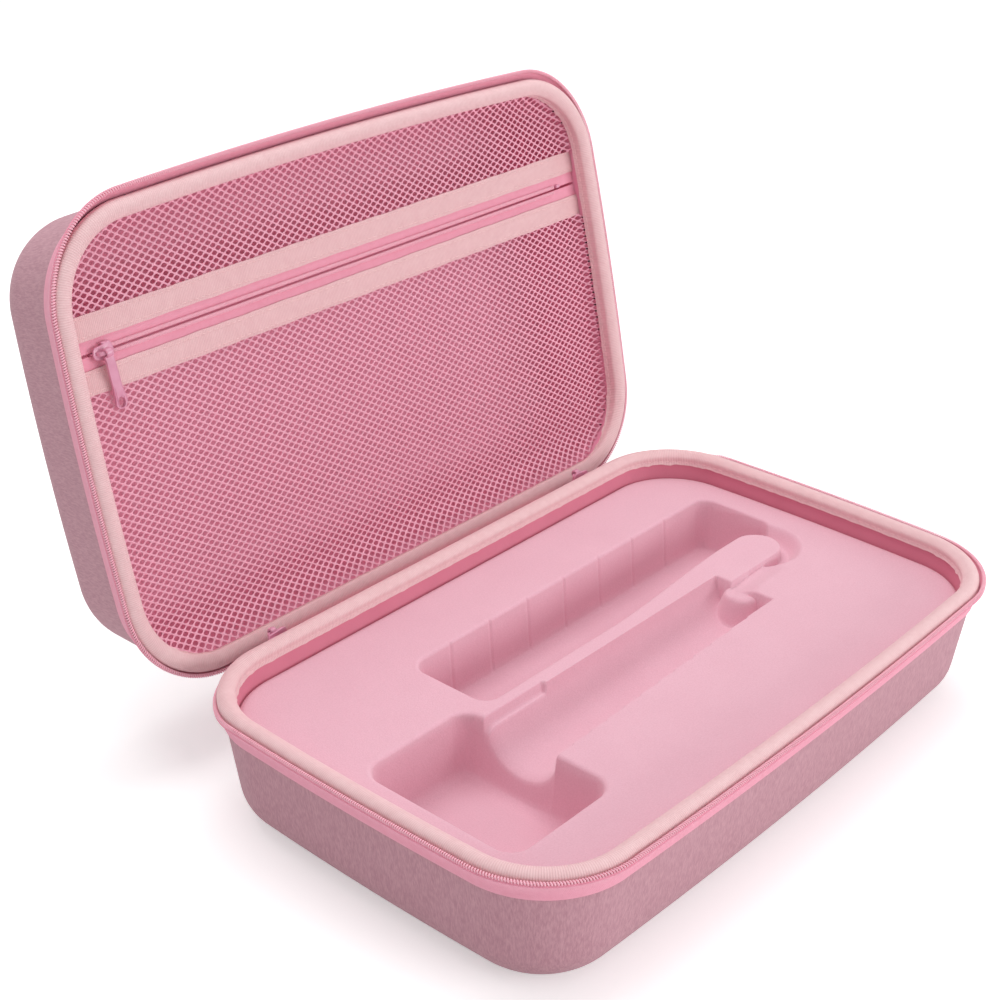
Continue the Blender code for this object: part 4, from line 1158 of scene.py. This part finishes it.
# The tapes are 7.55 mm wide. They are declared with the least width that a sheet may have.
band_long = 2 * float(half_width_at(np.array(BAND_CENTRE), TRIM_DROP))
print("band of", len(trims), "trims and", len(tapes), "tapes")

# %% [markdown]
# The pocket's zip is closed. Its two coils are finer than the main zip's. They lie side
# by side, one of them shifted by half a turn, and don't touch.

# %% Pocket coils
CHAIN_END = 0.150
CHAIN_HALF = 0.0022
CHAIN_HEIGHT = 0.0016
POCKET_PITCH = 0.00085
POCKET_THREAD = 0.00040
POCKET_APART = 0.0003


def make_pocket_coil(side, sign):
    """A straight helix along the band, above or below its middle."""
    turns = int(2 * CHAIN_END / POCKET_PITCH)
    reach = (CHAIN_HALF / 2 - 0.00045, CHAIN_HEIGHT / 2 - 0.00042)
    drop = NET_DROP - GAP - CHAIN_HEIGHT / 2
    up = BAND_CENTRE + sign * (CHAIN_HALF / 2 + POCKET_APART)
    shift = POCKET_PITCH / 2 if sign > 0 else 0.0

    def axes(distance):
        return np.tile(LID_AXES, (len(distance), 1, 1))

    def middle(distance):
        return lid_place(np.clip(distance + shift - CHAIN_END, -CHAIN_END, CHAIN_END), up, drop)

    points = helix_tube(middle, axes, POCKET_PITCH, reach, POCKET_THREAD, turns - 1, 9, 5)
    name = f"pocket_coil_{side}"
    return closed_band(f"{name}_wound", points, COIL, "lid", [name], False)


for side, sign in (("upper", 1), ("lower", -1)):
    make_pocket_coil(side, sign)
print("pocket coils wound")

# %% [markdown]
# Between base and lid runs one folded strip of the same tape, sewn to both walls below
# the zip's tapes. It is the hinge. It bends at one line only: its upper part lies along
# the open lid and its foot along the base's wall.

# %% Hinge strip
STRIP_HALF = 0.100
STRIP_WALL = 0.0010
STRIP_SEAT = 0.0008
STRIP_STATIONS = 80


def make_hinge_strip():
    """Its section as (y, z): up the base's wall, over the fold, then up the lid's, which is turned with the lid."""
    back = RIM_DEPTH / 2
    foot = [(back + BASE.wall(-STRIP_SEAT, drop), BASE_HEIGHT - drop) for drop in (0.026, 0.0197)]
    foot += [(back + 0.0032, 0.0508), (back + 0.0040, 0.0520)]
    closed = [(back + 0.0040, 0.0734)]
    closed += [(back + LID.wall(-STRIP_SEAT, drop), LID.crest + drop) for drop in (0.014, 0.026)]
    turned = LID.opened(np.array([(0, y, z) for y, z in closed]))[:, 1:]
    section = strip_profile(rounded_line(np.concatenate([foot, turned]), 8), STRIP_WALL)
    across = np.linspace(-STRIP_HALF, STRIP_HALF, STRIP_STATIONS)[:, None]
    points = np.stack(np.broadcast_arrays(across, section[:, 0], section[:, 1]), -1)
    faces = grid_faces(STRIP_STATIONS, len(section), False, True, caps=True)
    nodes = ["hinge_strip", "hinge_strip_foot"]
    strip = piece("hinge_strip_weave", points, faces, TAPE, None, nodes, real_map(points))
    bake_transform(strip)
    return strip


make_hinge_strip()
print("hinge strip folded")

# %% [markdown]
# Sliders are die-cast: two plates with rounded edges, a post between them, flanges that
# turn down at the sides, and a bridge that holds the pull by its eye. The pull is a long
# tapered plate with an oval hole whose rim stands up. Each plate is a stack of its own
# outline, drawn in a little at the top and at the bottom, which rounds its edges. The
# pocket zip's two small end stops keep their CAD shapes and only get the paint.

# %% Plates and bent wires
BAR_HEIGHT = 0.0040
SLIDER_LEVEL = NET_DROP - GAP - CHAIN_HEIGHT - GAP


def slider_outline(grow=0.0):
    """Heart-like: a wide front that takes in both rows of teeth, and a narrow nose: half width over length."""
    along = np.concatenate([np.linspace(-1, 1, 25), np.linspace(1, -1, 25)[1:-1]])
    half = 0.0030 + 0.0012 * np.clip((along + 0.2) / 0.8, 0, 1)
    round_end = np.clip(1 - np.abs(along) ** 5, 0, 1) ** 0.5
    side = np.where(np.arange(len(along)) < 25, -1, 1)
    return np.stack([along * (0.0055 + grow), side * (half + grow) * np.maximum(round_end, 0.02)], 1)


def rounded_plate(outline, low, high, edge):
    """An outline as (points, faces): drawn in by the edge's quarter circle at its bottom and top."""
    reach = np.abs(outline).max(0)
    rounding = [(0.0, edge), (0.3 * edge, 0.3 * edge), (edge, 0.0)]
    levels = [(low + rise, inset) for rise, inset in rounding]
    levels += [(high - rise, inset) for rise, inset in rounding[::-1]]
    rings = [np.column_stack([outline * (1 - inset / reach), np.full(len(outline), level)]) for level, inset in levels]
    return np.concatenate(rings), grid_faces(len(rings), len(outline), False, True, caps=True)


def bent_wire(path, radii, sides=8):
    """A tube of oval section along a path in the x, z plane: radii across the path and along y."""
    path = np.asarray(path, float)
    slope = np.gradient(path, axis=0)
    side = np.stack([-slope[:, 1], slope[:, 0]], 1) / np.linalg.norm(slope, axis=1, keepdims=True)
    angle = np.linspace(0, 2 * math.pi, sides, endpoint=False)
    middle = np.column_stack([path[:, 0], np.zeros(len(path)), path[:, 1]])
    across = np.column_stack([side[:, 0], np.zeros(len(path)), side[:, 1]])
    swing, depth = radii[0] * np.cos(angle)[:, None], radii[1] * np.sin(angle)[:, None]
    rings = middle[:, None] + swing * across[:, None] + depth * np.array([0, 1.0, 0])
    return rings.reshape(-1, 3), grid_faces(len(path), sides, False, True, caps=True)


PULL_HALF = 0.0031
PULL_NECK = 0.0017
PULL_RIM = 0.00095
PULL_TOP = -0.0014
PULL_HOLE = (0.0016, 0.0025)
PULL_STEPS = [
    (0.0, -0.0004), (0.0, 0.0004), (0.10, 0.00072), (0.30, 0.00060), (0.62, 0.00060), (0.78, PULL_RIM),
    (0.92, PULL_RIM), (1.0, 0.0005), (1.0, -0.0005), (0.92, -PULL_RIM), (0.78, -PULL_RIM), (0.62, -0.0006),
    (0.10, -0.00072),
]
EYE_RINGS = [
    (-0.0015, 0.00115), (-0.0015, 0.0018), (-0.0012, 0.0021), (0.0012, 0.0021), (0.0015, 0.0018), (0.0015, 0.00115),
]


def pull_parts(length):
    """Rings between the plate's outline and its hole, each a (share of the way, height), and the eye's (x, radius)."""
    turn = np.linspace(0, 2 * math.pi, 48, endpoint=False)
    sine, cosine = np.sin(turn), np.cos(turn)
    low = -length + PULL_HALF
    wide = PULL_NECK + (PULL_HALF - PULL_NECK) * np.clip((sine * -0.5 + 0.5) * 1.15, 0, 1)
    taper = np.clip(wide / np.maximum(np.abs(cosine), 0.35), 0, PULL_HALF)
    tall = low + PULL_HALF + (PULL_TOP - low - PULL_HALF) * np.clip(sine * 2.2, 0, 1)
    outer_x = cosine * np.where(sine > 0, taper, PULL_HALF)
    outer_y = np.where(sine > 0, tall, low + PULL_HALF * sine)
    outer = np.stack([outer_x, outer_y], 1)
    hole = np.stack([PULL_HOLE[0] * cosine, low + PULL_HOLE[1] * sine], 1)
    plate = [np.column_stack([outer * (1 - share) + hole * share, np.full(48, high)]) for share, high in PULL_STEPS]
    eye = [np.column_stack([np.full(48, x), radius * cosine, radius * sine]) for x, radius in EYE_RINGS]
    return [(np.concatenate(rings), grid_faces(len(rings), 48, True, True)) for rings in (plate, eye)]


def joined(parts):
    """Several (points, faces) as one."""
    points, faces, start = [], [], 0
    for more_points, more_faces in parts:
        points.append(more_points)
        faces += [[i + start for i in face] for face in more_faces]
        start += len(more_points)
    return np.concatenate(points), faces


print("a pull is", joined(pull_parts(0.027))[0].shape[0], "points")

# %% Sliders and pulls
POCKET_SLIDER_X = -0.1505
MAIN_SLIDER_X, MAIN_SLIDER_Y, MAIN_SLIDER_Z = 0.1092, 0.1117, 0.0617
MAIN_NARROW = np.array([1, 0.62, 1])
POCKET_PULL, MAIN_PULL = 0.027, 0.018
PULL_LEAN = math.radians(8)
PULL_CLEAR = 0.0010
ARCH_HALF, ARCH_FOOT = 0.0036, 0.0008


def box_outline(left, right, half):
    """A rectangle's four corners, half to each side of y = 0."""
    return np.array([(left, -half), (right, -half), (right, half), (left, half)])


def make_slider(name, body, place, flanges):
    """Two plates, a post and a bridge, and two flanges if wanted; place turns their x, y, z into the case's."""
    deep = CHAIN_HEIGHT + NET_WALL + 3 * GAP
    turn = np.linspace(math.pi, 0, 13)
    arch = np.stack([ARCH_HALF * np.cos(turn), ARCH_FOOT + (BAR_HEIGHT - ARCH_FOOT) * np.sin(turn) ** 0.6], 1)
    parts = [
        rounded_plate(slider_outline(), 0.0, 0.0011, 0.0004),
        rounded_plate(slider_outline(-0.0002), -deep - 0.0010, -deep, 0.0003),
        rounded_plate(box_outline(-0.0053, -0.0020, 0.0002), -deep - 0.0005, 0.0006, 0.0001),
        bent_wire(arch, (0.0007, 0.0010)),
    ]
    for side in (-1, 1) if flanges else ():
        centre = np.array([0.0023, side * 0.0038])
        points, faces = rounded_plate(box_outline(-0.0021, 0.0021, 0.0003), -0.0014, 0.0006, 0.0001)
        parts.append((points + np.append(centre, 0), faces))
    points, faces = joined(parts)
    return piece(name + "_cast", place(points), faces, METAL, body, [name])


def make_pull(name, length, swing, lean, place):
    """The pull turned about its bar by swing, and by a loose lean about the plate's own normal."""
    points, faces = joined(pull_parts(length))
    tilt = np.array(Matrix.Rotation(lean, 3, "Z"))
    fall = np.array(Matrix.Rotation(swing, 3, "X"))
    points = points @ tilt.T @ fall.T + np.array([0, 0, BAR_HEIGHT])
    return piece(name + "_cast", place(points), faces, METAL, name, [name])


def on_pocket(points):
    """x along the pocket's zip, y up the lid, z out of it."""
    return lid_place(POCKET_SLIDER_X + points[:, 0], BAND_CENTRE + points[:, 1], SLIDER_LEVEL - points[:, 2])


def on_back(sign, stretch=(1, 1, 1)):
    """A main slider lies on its side at the back: its x along the rim, its face away from the case."""

    def place(points):
        x, y, z = (points * np.array(stretch)).T
        return np.stack([sign * MAIN_SLIDER_X - sign * x, MAIN_SLIDER_Y + z, MAIN_SLIDER_Z + y], 1)

    return place


# The pocket's pull hangs as low as its raised rim and a millimetre of room over the net allow.
swing = math.asin((BAR_HEIGHT + NET_DROP - SLIDER_LEVEL - PULL_RIM - PULL_CLEAR) / POCKET_PULL)
make_slider("pocket_slider", "pocket_slider", on_pocket, True)
make_pull("pocket_pull", POCKET_PULL, swing, PULL_LEAN, on_pocket)
for side, sign in (("left", -1), ("right", 1)):
    make_slider(f"main_slider_{side}", "base", on_back(sign, MAIN_NARROW), False)
    make_pull(f"main_pull_{side}", MAIN_PULL, 0.0, 0.0, on_back(sign))
for name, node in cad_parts.items():
    if not node.hide_render:
        node.data.materials.clear()
        node.data.materials.append(METAL.material)
        print("kept from the CAD:", name)

# %% [markdown]
# The set is a plain white floor in an even, soft light from above and behind, as in a
# small studio. Where the floor is not in shadow it should read as white paper, so a
# little light is added to it for the camera only.

# %% Floor and light
FLOOR_GLOW = 0.40
FLOOR_HALF = 6
FILL = 0.50


def make_floor():
    """A flat square under the case; camera rays see it slightly lit from within, and its shadow stays."""
    mesh = bpy.data.meshes.new("floor")
    corners = [(-FLOOR_HALF, -FLOOR_HALF, 0), (FLOOR_HALF, -FLOOR_HALF, 0)]
    corners += [(FLOOR_HALF, FLOOR_HALF, 0), (-FLOOR_HALF, FLOOR_HALF, 0)]
    mesh.from_pydata(corners, [], [(0, 1, 2, 3)])
    floor = bpy.data.objects.new("floor", mesh)
    bpy.context.scene.collection.objects.link(floor)
    look = Look("floor_white", (250, 250, 250), Roughness=0.9)
    path = look.node("ShaderNodeLightPath", output="Is Camera Ray")
    glow = look.node("ShaderNodeEmission", {}, {"Strength": path * FLOOR_GLOW})
    lit = look.node("ShaderNodeAddShader", {}, {0: Wire(look, look.shader.outputs[0]), 1: glow})
    look.tree.links.new(lit.socket, look.tree.nodes["Material Output"].inputs["Surface"])
    mesh.materials.append(look.material)
    return floor


def soft_lamp(name, place, aim, size, power):
    """A rectangle of white light, size metres by metres and power watts, that faces its aim."""
    data = bpy.data.lights.new(name, "AREA")
    data.shape = "RECTANGLE"
    data.size, data.size_y = size
    data.energy = power
    lamp = bpy.data.objects.new(name, data)
    lamp.location = place
    lamp.rotation_euler = (Vector(aim) - Vector(place)).to_track_quat("-Z", "Y").to_euler()
    bpy.context.scene.collection.objects.link(lamp)
    return lamp


def make_world():
    """White for the camera and for reflections, a grey fill for everything else."""
    world = bpy.data.worlds.new("studio")
    bpy.context.scene.world = world
    world.use_nodes = True
    tree = world.node_tree
    path = tree.nodes.new("ShaderNodeLightPath")
    either = tree.nodes.new("ShaderNodeMath")
    either.operation = "MAXIMUM"
    tree.links.new(path.outputs["Is Camera Ray"], either.inputs[0])
    tree.links.new(path.outputs["Is Glossy Ray"], either.inputs[1])
    strength = tree.nodes.new("ShaderNodeMapRange")
    strength.inputs["To Min"].default_value = FILL
    strength.inputs["To Max"].default_value = 1.0
    tree.links.new(either.outputs[0], strength.inputs["Value"])
    tree.links.new(strength.outputs["Result"], tree.nodes["Background"].inputs["Strength"])
    tree.nodes["Background"].inputs["Color"].default_value = (1, 1, 1, 1)


make_floor()
make_world()
soft_lamp("key", (0.10, 0.35, 1.60), (0, 0.05, 0.05), (1.5, 1.3), 15.0)
soft_lamp("low_fill", (0.75, -1.95, 0.55), (0, 0.10, 0.10), (1.4, 0.7), 16.0)
bpy.context.scene.view_settings.view_transform = "Standard"
print("floor and lamps set")
